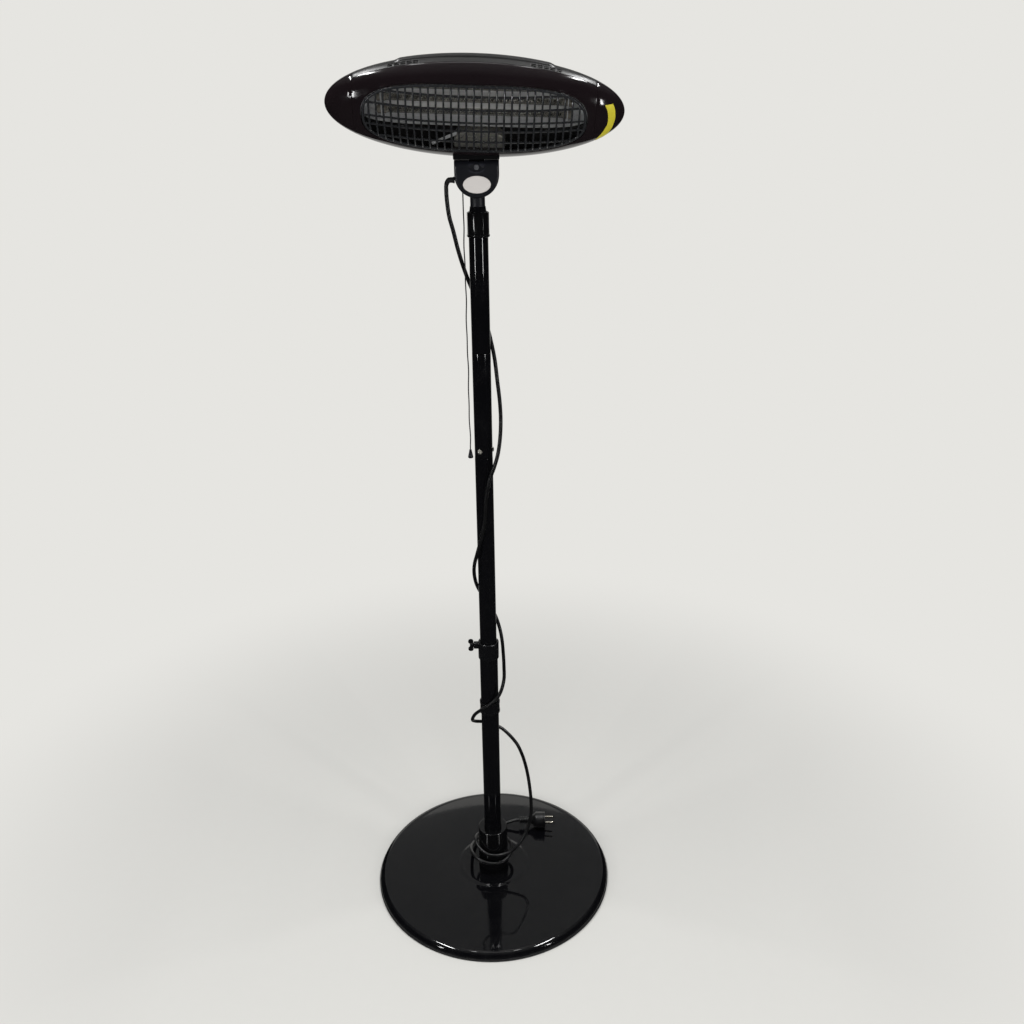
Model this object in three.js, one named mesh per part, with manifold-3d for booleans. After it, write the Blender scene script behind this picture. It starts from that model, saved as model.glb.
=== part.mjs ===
// Free-standing infrared patio heater: weighted round base, telescopic pole, neck housing with
// a pull switch, and a tilting oval head with three quartz tubes behind a wire guard.
// Millimetres, +Z up. The origin is on the floor under the pole's axis and the heater faces -Y.

import * as THREE from 'three';
import { mergeVertices } from 'three/addons/utils/BufferGeometryUtils.js';
import Module from 'manifold-3d';

const wasm = await Module();
wasm.setup();

// ---------------------------------------------------------------- driving dimensions

const gap = 0.3;                      // face-to-face gap between neighbouring pieces

// base
const baseRadius = 250;
const baseSides = 36;                 // facets round the base
const rubberHeight = 6;
const rubberWidth = 6;
const rubberGrooveFloor = 2;
const plateSheet = 2;                 // pressed steel sheet
const plateTop = 30;                  // height of the flat boss in the middle
const plateBossRadius = 75;
const plateBossStep = 1.5;
const plateShoulder = 18;             // height where the dome turns down into the rim
const plateRimRadius = 14;            // radius of the turned-down rim
const skirtInset = 1.1;               // from the rubber's outer side to the plate's skirt
const weightRadius = 200;
const weightThickness = 11;
const weightHubRadius = 60;           // raised hub that meets the plate
const weightPlay = 1;                 // between the hub and the plate over it
const weightClearance = 3;            // floor to the underside of the cast weight
const boltRadius = 5;
const boltHeadRadius = 8.5;
const boltHeadHeight = 6.4;
const washerRadius = 15;
const washerThickness = 2;
const collarTop = 127;
const collarTopRadius = 30.7;
const collarFootRadius = 32.2;
const collarWall = 3;
const collarLid = 6;

// pole
const tubeWall = 1.2;
const lowerTubeRadius = 18;
const upperTubeRadius = 16.5;
const slideClearance = 0.3;           // running clearance round the sliding tube
const lowerTubeTop = 570;
const footPlugHeight = 18;
const ringBottom = 423;
const ringHeight = 26.5;
const ringWall = 2.2;
const clampBottom = 551.5;
const clampHeight = 36.5;
const clampWall = 4;
const clampBossRadius = 7.5;
const clampBossReach = 29;            // from the pole's axis to the boss's outer face
const wingShaftRadius = 3;
const wingHubRadius = 5;
const wingHubLength = 7.5;
const wingSpan = 27;
const wingThickness = 2.6;
const upperPoleBottom = 60;           // how deep the upper pole reaches into the lower tube at rest
const endPlugFlange = 3;
const endPlugDepth = 15;
const lowerSeam = 976.6;
const upperSeam = 1171;
const spigotLength = 33;
const jointScrewHeight = 14.5;        // above the lower seam
const jointScrewRadius = 2;
const jointScrewHeadRadius = 4.5;
const jointScrewHeadHeight = 2.2;
const jointScrewAngles = [-113, -5];  // degrees round +Z, one left of the front and one on the right

// top fitting
const sleeveBottom = 1368;
const sleeveHeight = 40;
const sleeveSides = 12;
const sleeveWall = 1.8;
const sleeveLipHeight = 4;
const coneHeight = 8.7;
const coneFootRadius = 14.2;
const stubRadius = 12.35;
const stubWall = 2.3;
const stubPlugLength = 29;
const stubShow = 23;                  // from the sleeve's top to the neck housing
const stubReach = 13;                 // how far the stub runs into the housing

// neck housing
const neckHalfWidth = 36.3;
const neckHalfDepth = 20;
const neckTopRise = 13;               // of the rounded top above the tilt axis
const neckTopPower = 3;               // 2 is an ellipse, more is squarer
const neckWall = 3;
const neckEdge = 4;                   // rounding of the front and rear edges
const pivotRise = 46.5;               // from the housing's bottom to the tilt axis
const pivotBoltRadius = 4;
const pivotRibInner = 14;
const pivotRibThickness = 4;
const pivotHeadReach = 5;             // length of the tilt bolt's head and of its nut
const pivotBossRadius = 8;
const tongueHalfWidth = 12.5;
const tongueThickness = 8;
const tongueBarrelRadius = 8;
const tongueSlotHalfDepth = 15;
const tongueFootHalf = 22;            // half width of the foot inside the shell
const tongueFootDepths = [-8, 13];    // its front and back, from the tilt axis
const tongueFootHeight = 7;
const lockScrewRise = 2;              // above the tilt axis
const lockScrewHeadRadius = 4.2;
const lockScrewRadius = 1.9;
const lockRecessHalf = [12.5, 7.3];
const lockRecessDepth = 1.6;
const glandDrop = 8.7;                // below the middle of the housing's round lower edge
const glandRadius = 5.2;
const glandReach = 6;
const cordExitX = -24;
const bushRadius = 2.8;
const switchX = -22;
const switchSize = [12, 22, 16.5];
const leverRadius = 2;
const leverLength = 12;
const leverProud = 1;                 // of the lever below the switch at rest
const pullTravel = 6;
const bushProud = 1;                  // of the bush above the housing's floor

// head
const headHalfWidth = 235.5;
const headHalfHeight = 82;
const headHalfDepth = 50;
const headWall = 2.5;
const headTiltDeg = 30;               // how far the face looks down at rest
const headLeanDeg = 2.4;              // the head hangs a little lower on its right side
const headNeckGap = 3;
const headSides = [28, 12];           // facets round the face and from front to back
const capMargin = 12.5;               // from the opening's end to the end cap's seam
const partingDepth = -9;              // the shells part just in front of the head's middle plane
const humpHalfWidth = 124;
const humpRise = 3;
const humpFront = 9.5;                // behind the parting plane
const openingHalfWidth = 175.5;
const openingHalfHeight = 57.5;
const openingMiddle = 0.5;
const openingPower = 2.8;             // 2 is an ellipse, more is squarer
const openingSides = 36;
const openingLip = 2;
const tongueHoleMargin = 0.6;
const ventRows = 2;
const ventPitch = 3.6;                // between rows
const ventHeight = 2.2;
const ventStart = 1.5;                // from the parting plane to the first row
const ventCount = 4;                  // slots in a row on each side of the middle
const ventFirst = 85;                 // from the middle to the first slot
const ventLength = 8.5;
const ventStep = 13.5;                // between slots

// guard
const wireRadius = 1.6;               // to the corners of the wire's drawn section
const rimWireRadius = 2.6;
const wirePitch = 11.6;
const crossWireHeights = [41, 22, 1.5, -13, -34];
const uprightSteps = 5;
const crossWireSteps = 8;

// reflector and lamps
const dishMargin = 1.5;                // of the dish beyond the opening's end
const dishHalfHeight = 35;
const dishDepth = 34;
const dishMiddle = 17.5;
const dishLipDepth = -20;             // where the dish ends at the front, in head depth
const dishSheet = 0.8;
const dishPower = 4.5;
const dishFlange = 5;
const lampRadius = 5;
const lampEndRoom = 39;               // from the glass's end to the dish's end
const lampMiddle = 17.5;               // height of the middle lamp in the head
const lampPitch = 21;
const lampDepth = -6;
const lampCapRadius = 6.2;
const lampCapLength = 15;
const bracketThickness = 1.5;
const bracketOffset = 6;              // from the lamp cap's inner end to the bracket
const bracketMargin = 4;              // of plate in front of the lamp caps
const terminalHalfWidth = 41;
const terminalMiddle = 8;             // to the right of the head's middle
const terminalFloor = -62;            // its underside, in head height
const terminalHeight = 35;
const terminalDepth = 20;
const earthStrapEnds = [[-68, -52], [-28, -32]]; // [along, up] in the head
const earthStrapWidth = 5;
const earthStrapThickness = 0.8;

// pull cord
const pullCordRadius = 0.8;
const pullCordEnd = 991;
const knobHeight = 16;
const knobRadius = 4.75;

// mains lead
const leadRadius = 3.5;
const plugRadius = 18;
const plugLength = 25;
const plugNeckLength = 14;
const plugBootLength = 20;
const plugBootRadius = 7;
const plugNeckRadius = 5.5;
const plugPinRadius = 2.4;
const plugPinLength = 19;
const plugPinPitch = 19;
const plugX = 58;
const plugY = 112;
const plugZ = 45;

// ---------------------------------------------------------------- places that follow

const degree = Math.PI / 180;
const plugClearance = slideClearance;
const lowerTubeBore = lowerTubeRadius - tubeWall;
const upperTubeBore = upperTubeRadius - tubeWall;
const pieceFloor = plateTop + gap;
const clampTop = clampBottom + clampHeight;
const clampScrewHeight = (lowerTubeTop + clampTop) / 2;
const sleeveTop = sleeveBottom + sleeveHeight;
const poleTop = sleeveTop - 2;
const neckBottom = sleeveTop + stubShow;
const stubTop = neckBottom + stubReach;
const neckArcHeight = neckBottom + neckHalfWidth;
const pivotHeight = neckBottom + pivotRise;
const lockScrewHeight = pivotHeight + lockScrewRise;
const glandHeight = neckArcHeight - glandDrop;
const pivotRibOuter = pivotRibInner + pivotRibThickness;
const glandBore = glandRadius - 1;
const bushBore = bushRadius - 0.8;
const shellBottom = pivotHeight + neckTopRise + headNeckGap;
const headTilt = headTiltDeg * degree;
const headLean = headLeanDeg * degree;
const [tiltSin, tiltCos] = [Math.sin(headTilt), Math.cos(headTilt)];
const headDrop = Math.hypot(headHalfHeight * tiltCos, headHalfDepth * tiltSin);
const headLowY = (headHalfHeight ** 2 - headHalfDepth ** 2) * tiltSin * tiltCos / headDrop;
const headCentre = new THREE.Vector3(0, -headLowY, shellBottom + headDrop);
const headMatrix = new THREE.Matrix4()
  .makeRotationY(headLean)
  .multiply(new THREE.Matrix4().makeRotationX(headTilt))
  .setPosition(headCentre);
const intoHead = headMatrix.clone().invert();
const capSeam = openingHalfWidth + capMargin;
const dishHalfLength = openingHalfWidth + dishMargin;
const lampHalfLength = dishHalfLength - lampEndRoom;
const rimInset = rimWireRadius + 2 * gap;
const wirePairs = Math.floor((openingHalfWidth - rimInset - 2 * wireRadius) / wirePitch);
const crossWireOffset = wireRadius * 1.85;
const rimOffset = crossWireOffset / 2;
const past = 5;                       // how far a cutting body runs past what it cuts
const sliver = 0.03;                  // edges shorter than this are dropped after a join or cut

// ---------------------------------------------------------------- materials

const finish = {
  blackSteel: { color: 0x0b0b0c, roughness: 0.16, metalness: 0.0 },
  blackPlastic: { color: 0x15161a, roughness: 0.42, metalness: 0.0 },
  glossPlastic: { color: 0x120e10, roughness: 0.18, metalness: 0.0 },
  rubber: { color: 0x111111, roughness: 0.8, metalness: 0.0 },
  casting: { color: 0x7b7b78, roughness: 0.9, metalness: 0.0 },
  zinc: { color: 0xb9bcc0, roughness: 0.35, metalness: 1.0 },
  aluminium: { color: 0xc9cacc, roughness: 0.22, metalness: 1.0 },
  quartz: { color: 0xd8d4cc, roughness: 0.3, metalness: 0.0 },
  ceramic: { color: 0xe4dfd2, roughness: 0.6, metalness: 0.0 },
  switchBody: { color: 0xd9d6cc, roughness: 0.5, metalness: 0.0 },
  wire: { color: 0x141414, roughness: 0.35, metalness: 0.4 },
  lead: { color: 0x0d0d0d, roughness: 0.45, metalness: 0.0 },
};

// ---------------------------------------------------------------- solid helpers

// Merges a geometry's shared corners and drops triangles that have collapsed.
function weld(geometry) {
  const bare = new THREE.BufferGeometry();
  bare.setAttribute('position', geometry.getAttribute('position').clone());
  if (geometry.index) bare.setIndex(geometry.index.clone());
  const merged = mergeVertices(bare, 1e-4);
  const index = merged.index.array;
  const kept = [];
  for (let i = 0; i < index.length; i += 3) {
    const [a, b, c] = [index[i], index[i + 1], index[i + 2]];
    if (a !== b && b !== c && c !== a) kept.push(a, b, c);
  }
  merged.setIndex(kept);
  return merged;
}

function signedVolume(geometry) {
  const p = geometry.getAttribute('position').array;
  const index = geometry.index.array;
  let six = 0;
  for (let i = 0; i < index.length; i += 3) {
    const [a, b, c] = [3 * index[i], 3 * index[i + 1], 3 * index[i + 2]];
    six += p[a] * (p[b + 1] * p[c + 2] - p[b + 2] * p[c + 1])
      + p[a + 1] * (p[b + 2] * p[c] - p[b] * p[c + 2])
      + p[a + 2] * (p[b] * p[c + 1] - p[b + 1] * p[c]);
  }
  return six / 6;
}

// A closed three.js geometry as a solid whose faces point out.
function solid(geometry) {
  const welded = weld(geometry);
  if (signedVolume(welded) < 0) {
    const index = Array.from(welded.index.array);
    for (let i = 0; i < index.length; i += 3) [index[i], index[i + 1]] = [index[i + 1], index[i]];
    welded.setIndex(index);
  }
  return new wasm.Manifold(new wasm.Mesh({
    numProp: 3,
    vertProperties: new Float32Array(welded.getAttribute('position').array),
    triVerts: new Uint32Array(welded.index.array),
  }));
}

function geometryOf(body) {
  const mesh = body.getMesh();
  const geometry = new THREE.BufferGeometry();
  geometry.setAttribute('position', new THREE.BufferAttribute(new Float32Array(mesh.vertProperties), 3));
  geometry.setIndex(Array.from(mesh.triVerts));
  geometry.computeVertexNormals();
  return geometry;
}

function joined(bodies) {
  return bodies.reduce((sum, body) => sum.add(body));
}

// A closed outline of [radius, height] pairs turned about the Z axis.
function turned(outline, sides = 16) {
  const points = [...outline, outline[0]].map(([r, z]) => new THREE.Vector2(r, z));
  return new THREE.LatheGeometry(points, sides).rotateX(Math.PI / 2);
}

// A turned outline that starts and ends on the axis.
function turnedSolid(outline, sides = 16) {
  const points = outline.map(([r, z]) => new THREE.Vector2(r, z));
  return new THREE.LatheGeometry(points, sides).rotateX(Math.PI / 2);
}

function tube(outer, inner, bottom, top, sides = 16) {
  return turned([[inner, bottom], [outer, bottom], [outer, top], [inner, top]], sides);
}

function rod(radius, bottom, top, sides = 12) {
  return turnedSolid([[0, bottom], [radius, bottom], [radius, top], [0, top]], sides);
}

// A rod along X.
function crossRod(radius, from, to, y, z, sides = 12) {
  return rod(radius, from, to, sides).rotateY(Math.PI / 2).translate(0, y, z);
}

// A rod along Y.
function depthRod(radius, from, to, x, z, sides = 12) {
  return rod(radius, -to, -from, sides).rotateX(Math.PI / 2).translate(x, 0, z);
}

function block(from, to) {
  const size = to.map((value, axis) => value - from[axis]);
  return new THREE.BoxGeometry(...size).translate(...to.map((value, axis) => (value + from[axis]) / 2));
}

function signedPower(value, power) {
  return Math.sign(value) * Math.abs(value) ** power;
}

// An outline of the superellipse |x/a|^n + |z/b|^n = 1, as points in the X-Z plane.
function superellipse(a, b, power, sides, middle = 0) {
  const points = [];
  for (let i = 0; i < sides; i += 1) {
    const angle = 2 * Math.PI * i / sides;
    const x = a * signedPower(Math.cos(angle), 2 / power);
    const z = b * signedPower(Math.sin(angle), 2 / power);
    points.push(new THREE.Vector2(x, z + middle));
  }
  return points;
}

// An outline in X-Z run along Y from one depth to another.
function depthPrism(points, from, to) {
  const settings = { depth: to - from, bevelEnabled: false };
  const prism = new THREE.ExtrudeGeometry(new THREE.Shape(points), settings);
  return prism.rotateX(Math.PI / 2).translate(0, to, 0);
}

// A rounded body whose outline in X-Z is a superellipse and whose depth is along Y. A higher
// depth power gives it a flatter back and steeper sides.
function roundedBody(a, b, c, power, aroundSides, depthSides, depthPower = 2) {
  const geometry = new THREE.SphereGeometry(1, aroundSides, depthSides);
  const position = geometry.getAttribute('position');
  for (let i = 0; i < position.count; i += 1) {
    const [x, y, z] = [position.getX(i), position.getY(i), position.getZ(i)];
    const round = Math.hypot(x, z);
    const cos = round > 1e-9 ? x / round : 1;
    const sin = round > 1e-9 ? z / round : 0;
    const radius = round > 1e-9 ? round ** (2 / depthPower) : 0;
    position.setXYZ(
      i,
      a * radius * signedPower(cos, 2 / power),
      c * signedPower(y, 2 / depthPower),
      b * radius * signedPower(sin, 2 / power),
    );
  }
  return geometry;
}

// A bar of a few sides along a smooth path, with a corner of its section on each side.
function barAlong(points, radius, sides, steps) {
  const path = new THREE.CatmullRomCurve3(points, false, 'centripetal');
  const corners = [];
  for (let i = 0; i < sides; i += 1) {
    const angle = 2 * Math.PI * i / sides;
    corners.push(new THREE.Vector2(radius * Math.cos(angle), radius * Math.sin(angle)));
  }
  const section = new THREE.Shape(corners);
  return new THREE.ExtrudeGeometry(section, { steps, bevelEnabled: false, extrudePath: path });
}

// ---------------------------------------------------------------- scene graph

const heater = new THREE.Group();
heater.name = 'patio_heater';
const head = new THREE.Group();
headMatrix.decompose(head.position, head.quaternion, head.scale);
heater.add(head);

// Adds a named piece, and drops the slivers that joins and cuts leave on it.
function place(name, shape, look, group = heater) {
  const body = shape instanceof THREE.BufferGeometry ? solid(shape) : shape.asOriginal().simplify(sliver);
  const mesh = new THREE.Mesh(geometryOf(body), new THREE.MeshStandardMaterial(finish[look]));
  mesh.name = name;
  group.add(mesh);
  return mesh;
}

// ---------------------------------------------------------------- base

// Height of the pressed plate's upper side at a radius, between the boss and the rim.
function domeHeight(radius) {
  const start = plateTop - plateBossStep;
  const run = baseRadius - plateRimRadius - plateBossRadius;
  const share = (radius - plateBossRadius) / run;
  return start - (start - plateShoulder) * share * share;
}

// The plate's upper side from the edge of its boss to the foot of its skirt.
function plateOutline() {
  const skirt = baseRadius - skirtInset;
  const shoulder = baseRadius - plateRimRadius;
  const points = [[plateBossRadius, plateTop - plateBossStep]];
  for (const radius of [(plateBossRadius + shoulder) / 2, shoulder]) {
    points.push([radius, domeHeight(radius)]);
  }
  for (const angle of [45, 0]) {
    points.push([
      shoulder + (skirt - shoulder) * Math.cos(angle * degree),
      rubberHeight + (plateShoulder - rubberHeight) * Math.sin(angle * degree),
    ]);
  }
  points.push([skirt, rubberGrooveFloor + gap]);
  return points;
}

function buildBase() {
  const upper = plateOutline();
  const skirtPoints = upper.length - 2;
  const lower = upper.map(([r, z], i) => (i < skirtPoints ? [r, z - plateSheet] : [r - plateSheet, z]));
  const hole = boltRadius + gap;
  const bossEdge = plateBossRadius - 2;
  place('base_plate', turned([
    [hole, plateTop], [bossEdge, plateTop], ...upper, ...lower.reverse(), [hole, plateTop - plateSheet],
  ], baseSides), 'blackSteel');

  const outer = baseRadius;
  const inner = baseRadius - rubberWidth;
  const grooveOuter = upper.at(-1)[0] + gap;
  const grooveInner = upper.at(-1)[0] - plateSheet - gap;
  const ring = [
    [inner, 0], [outer, 0], [outer, rubberHeight], [grooveOuter, rubberHeight],
    [grooveOuter, rubberGrooveFloor], [grooveInner, rubberGrooveFloor], [grooveInner, rubberHeight],
    [inner, rubberHeight],
  ];
  place('base_rubber_ring', turned(ring, baseSides), 'rubber');

  const headRoom = weightClearance + boltHeadHeight + washerThickness + gap;
  const recess = washerRadius + 1;
  const discTop = weightClearance + weightThickness;
  const hubTop = plateTop - plateBossStep - plateSheet - weightPlay;
  const weight = [
    [recess, weightClearance], [weightRadius, weightClearance], [weightRadius, discTop],
    [weightHubRadius, discTop], [weightHubRadius, hubTop], [hole, hubTop], [hole, headRoom],
    [recess, headRoom],
  ];
  place('base_weight', turned(weight, baseSides), 'casting');

  const washerBottom = headRoom - gap - washerThickness;
  place('base_washer', tube(washerRadius, hole, washerBottom, headRoom - gap), 'zinc');
  const headTop = washerBottom - gap;
  const bolt = solid(rod(boltRadius, headTop - 1, plateTop + footPlugHeight - 4));
  const hex = solid(rod(boltHeadRadius, headTop - boltHeadHeight + 1, headTop, 6));
  place('base_bolt', bolt.add(hex), 'zinc');

  const plug = lowerTubeBore - plugClearance;
  place('tube_foot_plug', tube(plug, hole, pieceFloor, pieceFloor + footPlugHeight), 'zinc');

  const bore = lowerTubeRadius + gap;
  const collar = [
    [bore, collarTop], [collarTopRadius - 1, collarTop], [collarTopRadius, collarTop - 1],
    [collarFootRadius, pieceFloor], [collarFootRadius - collarWall, pieceFloor],
    [collarTopRadius - collarWall, collarTop - collarLid], [bore, collarTop - collarLid],
  ];
  place('base_collar', turned(collar, 28), 'glossPlastic');
}

// ---------------------------------------------------------------- pole

function buildLowerPole() {
  place('lower_tube', tube(lowerTubeRadius, lowerTubeBore, pieceFloor, lowerTubeTop), 'blackSteel');
  const seat = lowerTubeRadius + gap;
  place('stop_ring', tube(seat + ringWall, seat, ringBottom, ringBottom + ringHeight), 'blackPlastic');

  const outer = upperTubeRadius + clampWall;
  const slide = upperTubeRadius + slideClearance;
  const step = lowerTubeTop + gap;
  const collar = solid(turned([
    [seat, clampBottom], [outer, clampBottom], [outer, clampTop - 1], [outer - 1, clampTop],
    [slide, clampTop], [slide, step], [seat, step],
  ]));
  const boss = solid(crossRod(clampBossRadius, -clampBossReach, -slide - 1, 0, clampScrewHeight));
  const bore = solid(crossRod(wingShaftRadius + gap, -clampBossReach - past, 0, 0, clampScrewHeight));
  place('clamp_collar', collar.add(boss).subtract(bore), 'blackPlastic');
}

// The wing screw's shaft, hub and two rounded wings, along X on the clamp's left side.
function buildWingScrew() {
  const start = -clampBossReach - gap;
  const shaft = solid(crossRod(wingShaftRadius, start - 1, -upperTubeRadius - gap, 0, clampScrewHeight));
  const hub = solid(crossRod(wingHubRadius, start - wingHubLength, start, 0, clampScrewHeight));
  const lobe = (wingSpan / 2 - wingHubRadius) / 2 + 1;
  const wings = [1, -1].map((side) => {
    const disc = depthRod(lobe, -wingThickness / 2, wingThickness / 2, 0, 0, 14);
    return solid(disc.translate(start - lobe - gap, 0, clampScrewHeight + side * (wingSpan / 2 - lobe)));
  });
  place('wing_screw', joined([shaft, hub, ...wings]), 'blackPlastic');
}

// One length of the upper pole, with a reduced end that enters the next length.
function poleLength(bottom, top, spigot) {
  if (!spigot) return solid(tube(upperTubeRadius, upperTubeBore, bottom, top));
  const outer = upperTubeBore - plugClearance;
  const inner = outer - tubeWall;
  return solid(turned([
    [upperTubeBore, bottom], [upperTubeRadius, bottom], [upperTubeRadius, top], [outer, top],
    [outer, top + spigotLength], [inner, top + spigotLength], [inner, top - 2], [upperTubeBore, top - 4],
  ]));
}

function buildUpperPole() {
  let bottomTube = poleLength(upperPoleBottom, lowerSeam, true);
  let middleTube = poleLength(lowerSeam + gap, upperSeam, true);
  const height = lowerSeam + jointScrewHeight;
  jointScrewAngles.forEach((angle, count) => {
    const around = (shape) => solid(shape.rotateZ(angle * degree));
    const hole = around(crossRod(jointScrewRadius + gap, past, upperTubeRadius + past, 0, height));
    bottomTube = bottomTube.subtract(hole);
    middleTube = middleTube.subtract(hole);
    const seat = upperTubeRadius + gap;
    const domed = turnedSolid([
      [0, seat], [jointScrewHeadRadius, seat],
      [jointScrewHeadRadius * 0.85, seat + jointScrewHeadHeight * 0.7],
      [jointScrewHeadRadius * 0.45, seat + jointScrewHeadHeight], [0, seat + jointScrewHeadHeight],
    ], 12).rotateY(Math.PI / 2).translate(0, 0, height);
    const shank = crossRod(jointScrewRadius, upperTubeBore - 6, seat + 0.5, 0, height);
    place(`joint_screw_${count + 1}`, around(domed).add(around(shank)), 'zinc');
  });
  place('pole_tube_bottom', bottomTube, 'blackSteel');
  place('pole_tube_middle', middleTube, 'blackSteel');
  place('pole_tube_top', poleLength(upperSeam + gap, poleTop, false), 'blackSteel');

  const flangeTop = upperPoleBottom - gap;
  const flangeBottom = flangeTop - endPlugFlange;
  const stem = upperTubeBore - plugClearance;
  place('pole_end_plug', turnedSolid([
    [0, flangeBottom], [upperTubeRadius, flangeBottom], [upperTubeRadius, flangeTop], [stem, flangeTop],
    [stem, flangeTop + endPlugDepth], [0, flangeTop + endPlugDepth],
  ]), 'blackPlastic');
}

function buildTopFitting() {
  const bore = upperTubeRadius + gap;
  const facetRadius = bore + sleeveWall;
  const facets = solid(rod(facetRadius, sleeveBottom, sleeveTop, sleeveSides));
  const lip = solid(rod(facetRadius + 0.5, sleeveBottom, sleeveBottom + sleeveLipHeight, 24));
  const hole = solid(rod(bore, sleeveBottom - past, sleeveTop + past, 24));
  place('pole_sleeve', facets.add(lip).subtract(hole), 'blackPlastic');

  const coneBore = stubRadius + gap;
  const coneBottom = sleeveTop + gap;
  place('lock_cone', turned([
    [coneBore, coneBottom], [coneFootRadius + 2, coneBottom], [coneFootRadius, coneBottom + 1.5],
    [coneBore + 0.6, coneBottom + coneHeight], [coneBore, coneBottom + coneHeight],
  ]), 'blackSteel');

  const plug = upperTubeBore - plugClearance;
  const plugTop = poleTop;
  const inner = stubRadius - stubWall;
  place('neck_stub', turned([
    [inner, plugTop - stubPlugLength], [plug, plugTop - stubPlugLength], [plug, plugTop],
    [stubRadius, plugTop + 1], [stubRadius, stubTop], [inner, stubTop],
  ]), 'blackSteel');
}

// ---------------------------------------------------------------- neck housing

// The housing's solid form: a U in front view with a rounded top in side view.
function neckForm(inset, bevelSegments) {
  const half = neckHalfWidth - inset;
  const shape = new THREE.Shape();
  shape.moveTo(half - neckEdge, pivotHeight + neckTopRise);
  shape.lineTo(-half + neckEdge, pivotHeight + neckTopRise);
  shape.lineTo(-half + neckEdge, neckArcHeight);
  shape.absarc(0, neckArcHeight, half - neckEdge, Math.PI, 2 * Math.PI, false);
  shape.closePath();
  const depth = 2 * (neckHalfDepth - inset);
  const front = new THREE.ExtrudeGeometry(shape, {
    depth: depth - 2 * neckEdge, bevelEnabled: true, bevelThickness: neckEdge, bevelSize: neckEdge,
    bevelSegments, curveSegments: 8,
  }).rotateX(Math.PI / 2).translate(0, depth / 2 - neckEdge, 0);
  const round = neckHalfDepth - inset;
  const crown = superellipse(round, neckTopRise - inset, neckTopPower, 28, pivotHeight).slice(0, 15);
  const side = new THREE.Shape([
    new THREE.Vector2(-round, neckBottom - past), new THREE.Vector2(round, neckBottom - past), ...crown,
  ]);
  const length = 2 * (neckHalfWidth + past);
  const profile = new THREE.ExtrudeGeometry(side, { depth: length, bevelEnabled: false })
    .rotateX(Math.PI / 2).rotateZ(Math.PI / 2).translate(-length / 2, 0, 0);
  return solid(front).intersect(solid(profile));
}

function buildNeck() {
  const outer = neckForm(0, 2);
  let shell = outer.subtract(neckForm(neckWall, 1));
  for (const side of [-1, 1]) {
    const near = side * pivotRibInner;
    const far = side * pivotRibOuter;
    const rib = block(
      [Math.min(near, far), -neckHalfDepth, pivotHeight - pivotBossRadius],
      [Math.max(near, far), neckHalfDepth, pivotHeight + pivotBossRadius],
    );
    shell = shell.add(solid(rib).intersect(outer));
  }
  const slot = [tongueHalfWidth + gap, tongueSlotHalfDepth];
  const frontFace = -neckHalfDepth;
  const recess = superellipse(...lockRecessHalf, 2, 20, lockScrewHeight);
  const cuts = [
    block([-slot[0], -slot[1], pivotHeight + 2], [slot[0], slot[1], shellBottom + past]),
    rod(stubRadius + gap, neckBottom - past, stubTop + past, 16),
    crossRod(pivotBoltRadius + gap, -pivotRibOuter - past, pivotRibOuter + past, 0, pivotHeight),
    crossRod(glandBore + gap, -neckHalfWidth - past, -neckHalfWidth + neckWall + past, 0, glandHeight),
    rod(bushBore + gap, neckBottom - past, neckArcHeight - 8).translate(cordExitX, 0, 0),
    depthRod(lockScrewRadius + gap, frontFace - past, frontFace + neckWall + past, 0, lockScrewHeight),
    depthPrism(recess, frontFace - past, frontFace + lockRecessDepth),
  ];
  for (const cut of cuts) shell = shell.subtract(solid(cut));
  const reach = neckHalfWidth + past;
  const frontHalf = block([-reach, -reach, neckBottom - past], [reach, -gap / 2, pivotHeight + reach]);
  const rearHalf = block([-reach, gap / 2, neckBottom - past], [reach, reach, pivotHeight + reach]);
  place('neck_housing_front', shell.intersect(solid(frontHalf)), 'blackPlastic');
  place('neck_housing_rear', shell.intersect(solid(rearHalf)), 'blackPlastic');
}

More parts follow.
